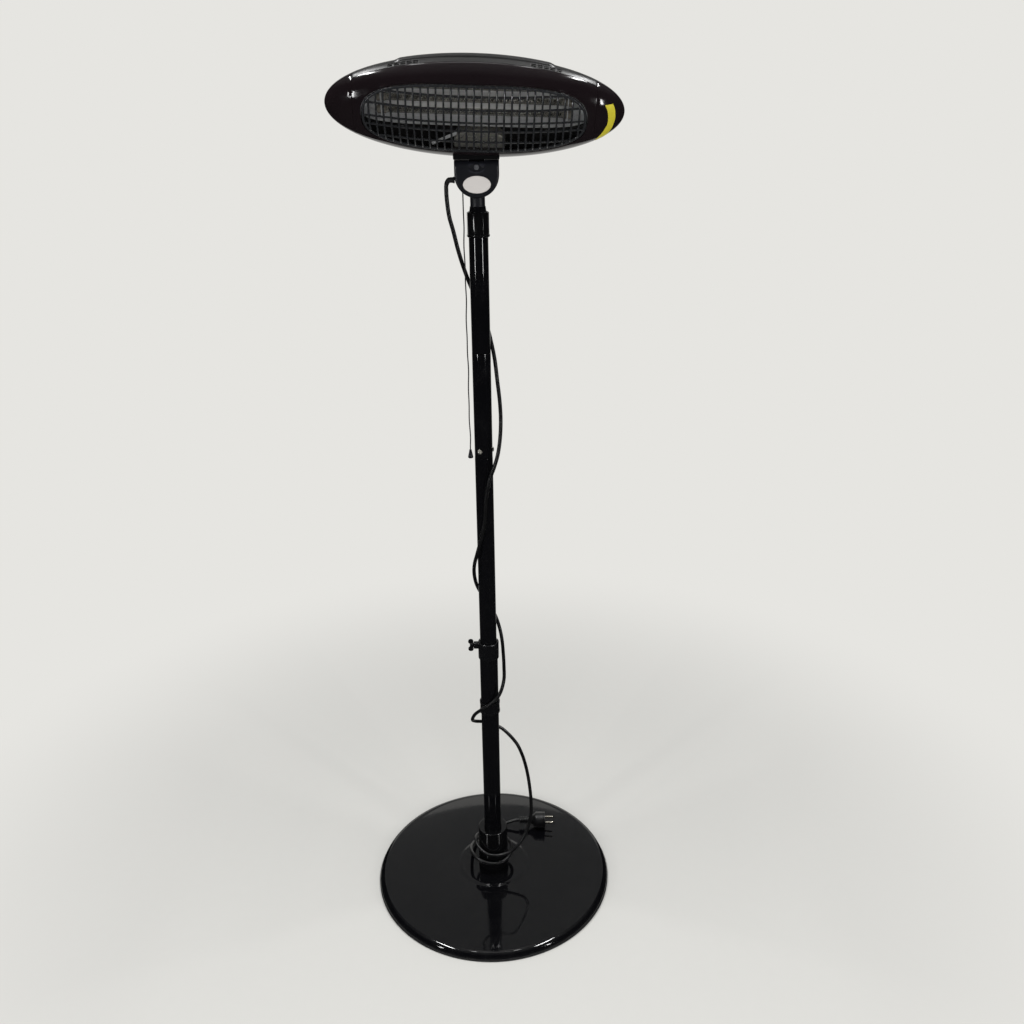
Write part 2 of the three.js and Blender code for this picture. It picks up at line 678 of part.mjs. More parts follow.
function buildNeckFittings() {
  const seat = -neckHalfDepth + lockRecessDepth - gap;
  const dome = turnedSolid([
    [0, 0], [lockScrewHeadRadius, 0], [lockScrewHeadRadius * 0.9, 1.2],
    [lockScrewHeadRadius * 0.5, 2.2], [0, 2.5],
  ]).rotateX(Math.PI / 2).translate(0, seat, lockScrewHeight);
  const shank = depthRod(lockScrewRadius, seat - 0.5, -tongueBarrelRadius - gap, 0, lockScrewHeight);
  place('tilt_lock_screw', solid(dome).add(solid(shank)), 'zinc');

  const boltEnd = pivotRibOuter + gap;
  const nutEnd = boltEnd + pivotHeadReach;
  const bolt = solid(crossRod(pivotBoltRadius, -boltEnd - 1, nutEnd + 3, 0, pivotHeight));
  const boltHead = solid(crossRod(pivotBoltRadius + 2.5, -nutEnd, -boltEnd, 0, pivotHeight, 6));
  place('tilt_bolt', bolt.add(boltHead), 'zinc');
  const nut = solid(crossRod(pivotBoltRadius + 3, boltEnd, nutEnd, 0, pivotHeight, 6));
  const nutBore = solid(crossRod(pivotBoltRadius + gap, boltEnd - past, nutEnd + past, 0, pivotHeight));
  place('tilt_nut', nut.subtract(nutBore), 'zinc');

  const wallOut = -neckHalfWidth - gap;
  const wallIn = -neckHalfWidth + neckWall + gap;
  const gland = solid(crossRod(glandRadius, wallOut - glandReach, wallOut, 0, glandHeight))
    .add(solid(crossRod(glandBore, wallOut - 1, wallIn + 2, 0, glandHeight)))
    .subtract(solid(crossRod(leadRadius - 1, wallOut + 1, wallIn + past, 0, glandHeight)));
  place('lead_gland', gland, 'rubber');

  const bushSeat = neckArcHeight - Math.sqrt(neckHalfWidth ** 2 - cordExitX ** 2);
  const bushTop = bushSeat + neckWall + bushProud;
  const bush = solid(rod(bushBore, bushSeat - bushProud, bushTop))
    .subtract(solid(rod(pullCordRadius + gap, bushSeat - bushProud - past, bushTop + past)));
  place('pull_cord_bush', bush.translate(cordExitX, 0, 0), 'blackPlastic');

  const [sx, sy, sz] = switchSize;
  const switchFloor = bushTop + pullTravel + leverProud + 2 * gap;
  const body = solid(block(
    [switchX - sx / 2, -sy / 2, switchFloor],
    [switchX + sx / 2, sy / 2, switchFloor + sz],
  ));
  const slot = solid(rod(leverRadius + gap, switchFloor - past, switchFloor + leverLength)
    .translate(cordExitX, 0, 0));
  place('pull_switch', body.subtract(slot), 'switchBody');
  return switchFloor;
}

function buildPullCord(switchFloor) {
  const leverBottom = switchFloor - leverProud;
  const lever = rod(leverRadius, leverBottom, switchFloor + leverLength - gap).translate(cordExitX, 0, 0);
  place('switch_plunger', lever, 'switchBody');
  const cordTop = leverBottom - gap;
  const cord = rod(pullCordRadius, pullCordEnd, cordTop, 8).translate(cordExitX, 0, 0);
  place('pull_cord', cord, 'lead');
  const knobTop = pullCordEnd - gap;
  const knobBottom = knobTop - knobHeight;
  const knob = turnedSolid([
    [0, knobTop], [knobRadius * 0.45, knobTop], [knobRadius * 0.6, knobTop - 3],
    [knobRadius * 0.92, knobTop - 9], [knobRadius, knobBottom + 1.5], [knobRadius * 0.8, knobBottom],
    [0, knobBottom],
  ].reverse()).translate(cordExitX, 0, 0);
  place('pull_knob', knob, 'blackPlastic');
}

// ---------------------------------------------------------------- head shells

// The head's rounded form, grown outward all round.
function headForm(grow) {
  return solid(roundedBody(
    headHalfWidth + grow, headHalfHeight + grow, headHalfDepth + grow, 2, ...headSides,
  ));
}

// A cutting block as tall as the head.
function slab(fromX, toX, fromY, toY) {
  const tall = headHalfHeight + humpRise + past;
  return solid(block([fromX, fromY, -tall], [toX, toY, tall]));
}

function openingPrism(grow, from, to) {
  const outline = superellipse(
    openingHalfWidth + grow, openingHalfHeight + grow, openingPower, openingSides, openingMiddle,
  );
  return solid(depthPrism(outline, from, to));
}

// A block of the tongue's section in the head's own frame, grown by a margin.
function tongueBlock(margin, from, to) {
  const shape = block(
    [-tongueHalfWidth - margin, -tongueThickness / 2 - margin, from],
    [tongueHalfWidth + margin, tongueThickness / 2 + margin, to],
  );
  return solid(shape.applyMatrix4(intoHead));
}

function buildShells() {
  const outer = headForm(0);
  const inner = headForm(-headWall);
  const wall = outer.subtract(inner);
  const far = headHalfWidth + past;
  const deep = headHalfDepth + humpRise + past;
  const seam = capSeam - gap / 2;
  place('end_cap_left', wall.intersect(slab(-far, -capSeam - gap / 2, -deep, deep)), 'glossPlastic', head);
  place('end_cap_right', wall.intersect(slab(capSeam + gap / 2, far, -deep, deep)), 'glossPlastic', head);

  const lip = openingPrism(openingLip, -deep, dishLipDepth - gap)
    .subtract(openingPrism(0, -deep - past, dishLipDepth))
    .intersect(outer);
  const front = wall
    .add(lip)
    .subtract(openingPrism(0, -deep - past, dishLipDepth))
    .intersect(slab(-seam, seam, -deep, partingDepth - gap / 2))
    .subtract(tongueBlock(tongueHoleMargin, pivotHeight + 10, shellBottom + 12));
  place('front_shell', front, 'glossPlastic', head);

  const humpStart = partingDepth + humpFront;
  const humpInner = humpHalfWidth - headWall;
  const hump = headForm(humpRise).intersect(slab(-humpHalfWidth, humpHalfWidth, humpStart, deep));
  const hollow = headForm(humpRise - headWall)
    .intersect(slab(-humpInner, humpInner, humpStart + headWall, deep));
  let rear = wall
    .intersect(slab(-seam, seam, partingDepth + gap / 2, deep))
    .add(hump)
    .subtract(inner)
    .subtract(hollow);
  for (let row = 0; row < ventRows; row += 1) {
    const depth = partingDepth + ventStart + row * ventPitch;
    for (let count = 0; count < ventCount; count += 1) {
      const near = ventFirst + count * ventStep;
      for (const from of [near, -near - ventLength]) {
        const vent = slab(from, from + ventLength, depth, depth + ventHeight);
        rear = rear.subtract(vent.trimByPlane([0, 0, 1], 0));
      }
    }
  }
  place('rear_shell', rear, 'glossPlastic', head);
}

// ---------------------------------------------------------------- guard

// Depth of the shell's middle surface at a place on the head's face.
function faceDepth(x, z) {
  const middle = headWall / 2;
  const share = 1 - (x / (headHalfWidth - middle)) ** 2 - (z / (headHalfHeight - middle)) ** 2;
  return -(headHalfDepth - middle) * Math.sqrt(Math.max(share, 0));
}

function facePoint(x, z, behind = 0) {
  return new THREE.Vector3(x, faceDepth(x, z) + behind, z);
}

// Half height of the guard's rim at a place along the head.
function rimHalfHeight(x) {
  const share = Math.min(Math.abs(x) / (openingHalfWidth - rimInset), 1);
  return (openingHalfHeight - rimInset) * (1 - share ** openingPower) ** (1 / openingPower);
}

// Half width of the guard's rim at a height from the opening's middle.
function rimHalfWidth(z) {
  const share = Math.min(Math.abs(z - openingMiddle) / (openingHalfHeight - rimInset), 1);
  return (openingHalfWidth - rimInset) * (1 - share ** openingPower) ** (1 / openingPower);
}

// An upright wire, which bends back into the rim at both ends.
function uprightWire(x) {
  const half = rimHalfHeight(x);
  const points = [];
  for (let i = 0; i <= uprightSteps; i += 1) {
    const atEnd = i === 0 || i === uprightSteps;
    points.push(facePoint(x, openingMiddle - half + 2 * half * i / uprightSteps, atEnd ? rimOffset : 0));
  }
  return barAlong(points, wireRadius, 4, uprightSteps);
}

// A long wire behind the uprights, welded to the back of each and to the rim.
function crossWire(z) {
  const half = rimHalfWidth(z);
  const points = [];
  for (let i = 0; i <= crossWireSteps; i += 1) {
    const atEnd = i === 0 || i === crossWireSteps;
    const behind = atEnd ? rimOffset : crossWireOffset;
    points.push(facePoint(-half + 2 * half * i / crossWireSteps, z, behind));
  }
  return barAlong(points, wireRadius, 4, crossWireSteps);
}

// The rim wire: a ring of diamond section that follows the opening all round.
function rimWire() {
  const ring = 4 * rimWireRadius;
  const geometry = new THREE.TorusGeometry(ring, rimWireRadius, 4, openingSides);
  const position = geometry.getAttribute('position');
  const [halfWidth, halfHeight] = [openingHalfWidth - rimInset, openingHalfHeight - rimInset];
  for (let i = 0; i < position.count; i += 1) {
    const [x, y] = [position.getX(i), position.getY(i)];
    const round = Math.hypot(x, y);
    const along = signedPower(x / round, 2 / openingPower);
    const up = signedPower(y / round, 2 / openingPower);
    const grow = round - ring;
    const depth = faceDepth(halfWidth * along, halfHeight * up + openingMiddle) + rimOffset;
    position.setXYZ(
      i,
      (halfWidth + grow) * along,
      depth + position.getZ(i),
      (halfHeight + grow) * up + openingMiddle,
    );
  }
  return geometry;
}

function buildGuard() {
  const wires = [rimWire()];
  for (let i = -wirePairs; i <= wirePairs; i += 1) wires.push(uprightWire(i * wirePitch));
  const inRim = (height) => rimHalfWidth(height) > wirePitch;
  for (const height of crossWireHeights.filter(inRim)) wires.push(crossWire(height));
  place('guard_grille', joined(wires.map(solid)), 'wire', head);
}

// ---------------------------------------------------------------- reflector and lamps

function dishForm(grow) {
  return solid(roundedBody(
    dishHalfLength + grow, dishHalfHeight + grow, dishDepth + grow, dishPower, 24, 10, dishPower,
  ).translate(0, dishLipDepth, dishMiddle));
}

function buildReflector() {
  const behindLip = slab(-capSeam, capSeam, dishLipDepth, headHalfDepth);
  const flangeOutline = superellipse(
    dishHalfLength + dishFlange, dishHalfHeight + dishFlange, dishPower, 32, dishMiddle,
  );
  const flange = solid(depthPrism(flangeOutline, dishLipDepth, dishLipDepth + dishSheet))
    .intersect(headForm(-headWall - gap));
  const dish = dishForm(0).intersect(behindLip).add(flange).subtract(dishForm(-dishSheet));
  place('reflector', dish, 'aluminium', head);
}

function buildLamps() {
  const room = dishForm(-dishSheet - gap);
  const capStart = lampHalfLength + gap;
  const heights = [-1, 0, 1].map((step) => lampMiddle + step * lampPitch);
  const lampRod = (radius, from, to, height) => crossRod(radius, from, to, lampDepth, height);
  heights.forEach((height, count) => {
    const glass = lampRod(lampRadius, -lampHalfLength, lampHalfLength, height);
    place(`quartz_tube_${count + 1}`, glass, 'quartz', head);
    const left = lampRod(lampCapRadius, -capStart - lampCapLength, -capStart, height);
    place(`lamp_cap_left_${count + 1}`, left, 'ceramic', head);
    const right = lampRod(lampCapRadius, capStart, capStart + lampCapLength, height);
    place(`lamp_cap_right_${count + 1}`, right, 'ceramic', head);
  });
  for (const [side, word] of [[-1, 'left'], [1, 'right']]) {
    const middle = side * (capStart + bracketOffset + bracketThickness / 2);
    const ends = [middle - bracketThickness / 2, middle + bracketThickness / 2];
    let plate = solid(block(
      [ends[0], lampDepth - lampCapRadius - bracketMargin, dishMiddle - dishHalfHeight],
      [ends[1], headHalfDepth, dishMiddle + dishHalfHeight],
    )).intersect(room);
    for (const height of heights) {
      plate = plate.subtract(solid(lampRod(lampCapRadius + gap, ends[0] - past, ends[1] + past, height)));
    }
    place(`lamp_bracket_${word}`, plate, 'aluminium', head);
  }
}

// ---------------------------------------------------------------- tilt tongue and head internals

function buildTongue() {
  const barrel = solid(crossRod(tongueBarrelRadius, -tongueHalfWidth, tongueHalfWidth, 0, pivotHeight));
  const blade = solid(block(
    [-tongueHalfWidth, -tongueThickness / 2, pivotHeight + 4],
    [tongueHalfWidth, tongueThickness / 2, shellBottom + 6],
  ));
  const foot = solid(block(
    [-tongueFootHalf, tongueFootDepths[0], shellBottom],
    [tongueFootHalf, tongueFootDepths[1], shellBottom + tongueFootHeight],
  ).applyMatrix4(intoHead)).intersect(headForm(-headWall - gap));
  const boreEnd = tongueHalfWidth + past;
  const bore = solid(crossRod(pivotBoltRadius + gap, -boreEnd, boreEnd, 0, pivotHeight));
  const upright = geometryOf(barrel.add(blade).subtract(bore)).applyMatrix4(intoHead);
  place('tilt_tongue', solid(upright).add(foot), 'blackSteel', head);
}

// The domed metal cover of the terminals, in the dark space below the reflector.
function buildTerminalCover() {
  const spring = terminalFloor + terminalHeight * 0.45;
  const shape = new THREE.Shape();
  shape.moveTo(-terminalHalfWidth, terminalFloor);
  shape.lineTo(terminalHalfWidth, terminalFloor);
  shape.lineTo(terminalHalfWidth, spring);
  shape.absellipse(0, spring, terminalHalfWidth, terminalHeight * 0.55, 0, Math.PI, false);
  shape.closePath();
  const settings = { depth: terminalDepth, bevelEnabled: false, curveSegments: 14 };
  const back = dishLipDepth + terminalDepth;
  const cover = new THREE.ExtrudeGeometry(shape, settings).rotateX(Math.PI / 2)
    .translate(terminalMiddle, back, 0);
  place('terminal_cover', cover, 'zinc', head);
}

// The bare metal strap from the shell's lower edge up to the front of the terminal cover.
function buildEarthStrap() {
  const [low, high] = earthStrapEnds;
  const [runX, runZ] = [high[0] - low[0], high[1] - low[1]];
  const back = dishLipDepth - gap;
  const strap = block(
    [0, back - earthStrapThickness, -earthStrapWidth / 2],
    [Math.hypot(runX, runZ), back, earthStrapWidth / 2],
  );
  place('earth_strap', strap.rotateY(-Math.atan2(runZ, runX)).translate(low[0], 0, low[1]), 'zinc', head);
}

// ---------------------------------------------------------------- mains lead

// The lead's route from the gland, round the pole and the collar, to the plug: [x, y, z].
const leadRoute = [
  [-43, 0, 1458.6], [-46, 0, 1458.4], [-50, 0, 1453], [-51, 0, 1440], [-50, 0, 1420], [-47.5, 0, 1400],
  [-42, 1, 1378], [-35, 4, 1346], [-27, 10, 1316], [-18, 17, 1288], [-3, 21.5, 1250],
  [10, 19.5, 1215], [18, 12, 1183], [23, 5, 1157], [27, 0, 1120], [31, -2, 1078],
  [32, -5, 1045], [30, -11, 1012], [25.5, -17, 985], [18.5, -20.5, 962], [10.5, -22, 940],
  [2.5, -22.5, 900], [0, -22.5, 862], [-8.5, -22, 820], [-16, -18, 790], [-22.5, -9, 762],
  [-24, 0, 738], [-20.5, 12, 708], [-10, 20, 680], [4, 22, 655], [15, 17, 634],
  [23, 6, 612], [27, 0, 590], [29, 0, 560], [30, 0, 528], [29.5, -3, 500],
  [23.5, -14, 480], [14.5, -21, 466], [1, -25, 455], [-14, -23, 443], [-30, -13, 424],
  [-36.5, -2, 403], [-31, 10, 391], [-18, 21, 382], [0, 25, 374], [20, 22, 366],
  [37, 12, 356], [54, 3, 338], [64, 0, 315], [70, 0, 293], [75, 0, 268],
  [79.5, -2, 236], [82.5, -6, 200], [82, -12, 165], [74, -20, 132], [60, -29, 108],
  [44, -36, 92], [27, -38, 83], [8, -38.5, 79], [-12, -36.5, 81], [-28, -26, 88],
  [-37, -9, 93], [-36, 12, 90], [-25, 30, 82], [-6, 40, 74], [16, 38, 68],
  [34, 24, 64], [40, 4, 62], [34, -20, 60], [16, -36, 58], [-8, -41, 60],
  [-30, -34, 64], [-45, -14, 64], [-49, 12, 57], [-46, 38, 45], [-36, 64, 36.5],
  [-16, 88, 33.5], [10, 104, 34.5], [34, 111, 40], [50, 112, 44.8], [57.6, 112, 45],
];

function buildMainsLead() {
  const path = leadRoute.map((point) => new THREE.Vector3(...point));
  place('mains_lead', barAlong(path, leadRadius, 8, 80), 'lead');

  const boot = plugX + plugBootLength;
  const neck = boot + plugNeckLength;
  const outline = [
    [0, plugX], [leadRadius + 1, plugX], [plugBootRadius, boot - 4], [plugNeckRadius, boot],
    [plugNeckRadius + 2, boot + 4],
    [plugRadius - 4, neck], [plugRadius, neck + 4], [plugRadius, neck + plugLength], [0, neck + plugLength],
  ];
  const lay = (geometry) => geometry.rotateY(Math.PI / 2).translate(0, plugY, plugZ);
  place('plug_body', lay(turnedSolid(outline, 24)), 'lead');
  [-1, 1].forEach((side, count) => {
    const from = neck + plugLength + gap;
    const pin = turnedSolid([
      [0, from], [plugPinRadius, from], [plugPinRadius, from + plugPinLength - 1.5],
      [plugPinRadius * 0.5, from + plugPinLength], [0, from + plugPinLength],
    ], 12);
    place(`plug_pin_${count + 1}`, lay(pin).translate(0, side * plugPinPitch / 2, 0), 'zinc');
  });
}

// ---------------------------------------------------------------- assembly

buildBase();
buildLowerPole();
buildWingScrew();
buildUpperPole();
buildTopFitting();
buildNeck();
buildPullCord(buildNeckFittings());
buildShells();
buildGuard();
buildReflector();
buildLamps();
buildTongue();
buildTerminalCover();
buildEarthStrap();
buildMainsLead();

export default heater;
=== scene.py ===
"""The finished pieces of a standing infrared patio heater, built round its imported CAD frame.

Sizes in the builders are millimetres in the frame's own axes: +Z is up, the heater faces -Y, and
the origin is on the floor under the pole. Each mesh is turned to metres as it is made.
"""

import math

import bmesh
import bpy
from bpy.props import FloatProperty, FloatVectorProperty, IntProperty, PointerProperty
from mathutils import Matrix, Vector


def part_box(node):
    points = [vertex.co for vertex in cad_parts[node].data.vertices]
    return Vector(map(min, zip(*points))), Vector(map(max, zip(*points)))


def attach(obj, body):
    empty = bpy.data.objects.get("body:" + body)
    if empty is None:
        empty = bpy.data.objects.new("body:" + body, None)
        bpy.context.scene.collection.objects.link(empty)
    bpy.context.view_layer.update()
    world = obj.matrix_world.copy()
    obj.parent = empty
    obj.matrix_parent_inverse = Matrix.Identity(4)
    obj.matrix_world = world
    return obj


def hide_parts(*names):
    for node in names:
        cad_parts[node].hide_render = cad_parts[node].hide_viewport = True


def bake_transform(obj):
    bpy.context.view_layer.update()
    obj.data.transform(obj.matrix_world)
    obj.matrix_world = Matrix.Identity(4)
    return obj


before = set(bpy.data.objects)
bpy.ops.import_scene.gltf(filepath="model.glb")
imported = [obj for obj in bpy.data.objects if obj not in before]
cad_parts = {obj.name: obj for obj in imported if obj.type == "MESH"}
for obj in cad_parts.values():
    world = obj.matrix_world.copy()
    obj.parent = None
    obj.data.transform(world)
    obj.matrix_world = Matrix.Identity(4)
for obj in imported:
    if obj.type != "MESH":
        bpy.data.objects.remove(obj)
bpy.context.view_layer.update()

bl_info = {
    "name": "Patio heater tower",
    "version": (1, 0, 0),
    "blender": (4, 5, 0),
    "location": "3D View > Sidebar > Heater",
    "description": "Builds the finished pieces of a standing infrared heater round its CAD frame",
    "category": "Object",
}

MM = 0.001
TURN = 2 * math.pi
DEGREE = math.pi / 180


# ------------------------------------------------------------------ sizes and colours

def linear(code):
    """An sRGB hex colour as linear red, green, blue and alpha."""
    shares = [int(code[i:i + 2], 16) / 255 for i in (0, 2, 4)]
    return [s / 12.92 if s <= 0.04045 else ((s + 0.055) / 1.055) ** 2.4 for s in shares] + [1.0]


def colour(name, code, description):
    return FloatVectorProperty(
        name=name, description=description, subtype="COLOR", size=4, min=0.0, max=1.0,
        default=linear(code),
    )


def length(name, millimetres, description):
    return FloatProperty(
        name=name, description=description, subtype="DISTANCE", unit="LENGTH", min=0.00001,
        precision=5, default=millimetres * MM,
    )


class HeaterSizes(bpy.types.PropertyGroup):
    """Sizes of the pieces and patterns that the CAD frame leaves to the looks."""

    badge_width: length("Badge width", 45.0, "Width of the blank oval plate on the neck housing")
    badge_height: length("Badge height", 27.0, "Height of the blank oval plate on the neck housing")
    badge_thickness: length("Badge thickness", 1.1, "How far the blank oval plate stands proud")
    strip_lift: length("Strip thickness", 0.25, "Thickness of the yellow film on the right end cap")
    guard_wire: length("Guard wire", 3.2, "Diameter of the guard's upright and cross wires")
    rim_wire: length("Rim wire", 4.4, "Diameter of the wire round the guard's edge")
    coil_pitch: length("Coil pitch", 2.4, "Spacing of the heating coil's turns")
    coil_wire: length("Coil wire", 0.9, "Diameter of the heating coil's wire")
    orange_peel: length("Orange peel", 3.0, "Size of the ripples in the stoved enamel")
    mould_grain: length("Mould grain", 1.0, "Size of the spark-eroded grain on satin mouldings")
    casting_grain: length("Casting grain", 2.5, "Size of the sand grain on the cast weight")
    plug_ribs: IntProperty(
        name="Plug ribs", description="Number of ribs on the plug's bending sleeve",
        default=5, min=2, max=12,
    )


class HeaterColours(bpy.types.PropertyGroup):
    """Colours of the finishes."""

    enamel: colour("Enamel", "08080a", "Stoved enamel on the base and the poles")
    shell: colour("Shell", "140f11", "Gloss moulding of the head's front shell and end caps")
    rear: colour("Rear shell", "131212", "Satin moulding of the head's rear shell")
    trim: colour("Trim", "09090a", "Gloss moulding of the collar, the sleeve and the head's seat")
    moulding: colour("Moulding", "131419", "Satin moulding of the neck housing and the clamp")
    clamp: colour("Clamp", "0b0b0d", "Polished moulding of the clamp, its screw and the stop ring")
    oxide: colour("Black oxide", "4e4f52", "Blacked steel of the tilt screw")
    rubber: colour("Rubber", "131314", "Rubber strip round the base")
    casting: colour("Casting", "5f5e5a", "Cast weight under the base")
    zinc: colour("Zinc", "b4b7bb", "Zinc plated screws")
    aluminium: colour("Aluminium", "e2e3e4", "Bright aluminium of the reflector")
    nickel: colour("Nickel", "cbc6ba", "Nickel plated plug pins")
    quartz: colour("Quartz", "e6e4de", "Clear quartz of the lamp tubes")
    coil: colour("Coil", "2a2725", "Resistance wire inside the lamp tubes")
    ceramic: colour("Ceramic", "66625a", "Grey ceramic lamp caps")
    nylon: colour("Nylon", "d6d2c6", "Pale moulding of the switch")
    wire: colour("Wire", "242527", "Coating of the guard's wires")
    sheath: colour("Sheath", "0a0a0b", "Sheath of the mains lead")
    badge: colour("Badge", "d9d4d0", "Blank oval plate")
    strip: colour("Strip", "d2c524", "Blank yellow film on the end cap")
    floor: colour("Floor", "d9d8d3", "Studio floor")
    tent: colour("Tent", "1c1c1c", "Dark cloth round the front of the studio")
    cloth: colour("Cloth", "e6e6e6", "Pale cloth high behind the heater")
    card: colour("Card", "141414", "Black card on the studio floor")


# ------------------------------------------------------------------ the frame's sizes, in millimetres

GAP = 0.3

BASE_RADIUS = 250
RUBBER_WIDTH = 6
RUBBER_HEIGHT = 6
PLATE_TOP = 30
PLATE_SHEET = 2
BOSS_RADIUS = 75
BOSS_STEP = 1.5
BOSS_FOOT = 7                         # the step's reach inside the boss's edge, and outside it
BOSS_SPREAD = 4
SHOULDER_RADIUS = 236
SHOULDER_HEIGHT = 18
SKIRT_RADIUS = 248.9
GROOVE_FLOOR = 2
BOLT_HOLE = 5.3
WEIGHT_RADIUS = 200
WEIGHT_DISC = 11
COLLAR_TOP = 127
COLLAR_TOP_RADIUS = 30.7
COLLAR_FOOT_RADIUS = 32.2

LOWER_TUBE = 18
UPPER_TUBE = 16.5
TUBE_WALL = 1.2
LOWER_TUBE_TOP = 570
RING_SPAN = (423, 449.5)
CLAMP_SPAN = (551.5, 588)
CLAMP_RADIUS = 20.5
WING_HEIGHT = 579
LOWER_SEAM = 976.6
UPPER_SEAM = 1171
POLE_BOTTOM = 60
POLE_TOP = 1406
JOINT_SCREW_HEIGHT = 991.1
JOINT_SCREW_ANGLES = (-113, -5)
SPIGOT_REACH = 33

# the wing screw's lobes: half width, middle as (along the screw, beside it), and (depth, inset) sections
LOBE_HALF = 5.2
LOBE_PLACE = (-34.85, 8.25)
LOBE_SECTION = ((-1.3, 1.1), (-1.15, 0.4), (-0.8, 0.0), (0, 0.0), (0.8, 0.0), (1.15, 0.4), (1.3, 1.1))

SLEEVE_SPAN = (1368, 1408)
SLEEVE_RADIUS = 18.6
SLEEVE_BORE = 16.8
SLEEVE_FACETS = 12
LIP_RADIUS = 19.4
LIP_SECTION = ((0, 0.5), (0.25, 0.15), (0.7, 0.0), (2.8, 0.0), (3.3, 0.1), (3.7, 0.38), (4.0, 0.8))
CONE_BORE = 12.65
CONE_HEIGHT = 8.7
STUB_BORE = 10.05
STUB_RADIUS = 12.35
STUB_TOP = 1444

NECK_HALF_WIDTH = 36.3
NECK_HALF_DEPTH = 20
NECK_EDGE = 4
NECK_ARC_HEIGHT = 1467.3
NECK_TOP_RISE = 13
NECK_TOP_POWER = 2.7
NECK_WALL = 3
PIVOT_HEIGHT = 1477.5
LOCK_SCREW_HEIGHT = 1479.5
RECESS_HALF = (12.5, 7.3)
RECESS_DEPTH = 1.6
GLAND_HEIGHT = 1458.6
CORD_X = -24
BADGE_HEIGHT = 1452.7
BADGE_EDGE = ((0.0, 0.0), (0.35, 0.0), (0.5, 0.15), (0.55, 0.6), (0.42, 0.95), (0.42, 1.2), (0.6, 1.5))

HEAD_HALF = (235.5, 50, 82)           # along, front to back, up
HEAD_WALL = 2.5
HEAD_TILT = 30 * DEGREE
HEAD_LEAN = 2.4 * DEGREE
SHELL_BOTTOM = 1493.5
CAP_SEAM = 188
PARTING = -9
HUMP_HALF = 124
HUMP_RISE = 2.4
HUMP_FRONT = -1.2
HUMP_RUN = 4
HUMP_SLOPE = 11
OPENING_HALF = (175.5, 57.5)
OPENING_MIDDLE = 0.5
OPENING_POWER = 2.8
WIRE_PITCH = 11.6
WIRE_PAIRS = 14
CROSS_WIRES = (41, 22, 1.5, -13, -34)
RIM_INSET = 3.2
CROSS_OFFSET = 2.96
RIM_OFFSET = 1.48
DISH_HALF = (177, 35)
DISH_DEPTH = 34
DISH_MIDDLE = 17.5
DISH_LIP = -20
DISH_POWER = 4.5
DISH_SHEET = 0.8

# the seat under the head, as (back, up) with the corners' radii
SEAT_PROFILE = [
    (-19.6, 1499.5), (-18.6, 1494.0, 1.5), (-17.2, 1491.2, 0.7), (-15.9, 1491.1, 0.4), (-13.4, 1491.5),
    (-11.5, 1491.9), (-4, 1491.95), (0, 1492.2), (4, 1493.6), (4.6, 1499),
]

LAMP_HEIGHTS = (-3.5, 17.5, 38.5)
LAMP_DEPTH = -6
LAMP_HALF = 138
COIL_RADIUS = 3.1
LAMP_CAP_OUTLINE = (                  # (radius, place from the glass's end, corner radius)
    (0, 0, 0.3), (5.6, 0, 0.4), (6.2, 1.0, 0.4), (6.2, 4.4, 0.3), (5.5, 4.9, 0.2), (5.5, 8.0, 0.2),
    (6.2, 8.5, 0.3), (6.2, 13.0, 0.6), (4.2, 15, 0.6), (0, 15, 0.3),
)
COVER_HALF = 41
COVER_MIDDLE = 8
COVER_FLOOR = -62
COVER_RISE = 35
COVER_DEPTH = 20
COVER_SECTION = (
    (COVER_DEPTH, 0.0), (3.0, 0.0), (1.6, 0.25), (0.6, 0.9), (0.1, 2.0), (0.0, 3.4), (0.0, 7.0), (0.35, 8.0),
    (0.35, 12.0),
)
STRAP_ENDS = ((-68, -52), (-28, -32))
STRAP_WIDTH = 5
STRAP_BACK = -20.3

SLOT_ROWS = ((-7.5, -5.3), (-3.9, -1.7))
SLOT_FIRST = 85
SLOT_LENGTH = 7.4
SLOT_STEP = 9.7
SLOT_COUNT = 5

PLUG_X = 58
PLUG_Y = 112
PLUG_Z = 45
LEAD_RADIUS = 3.5

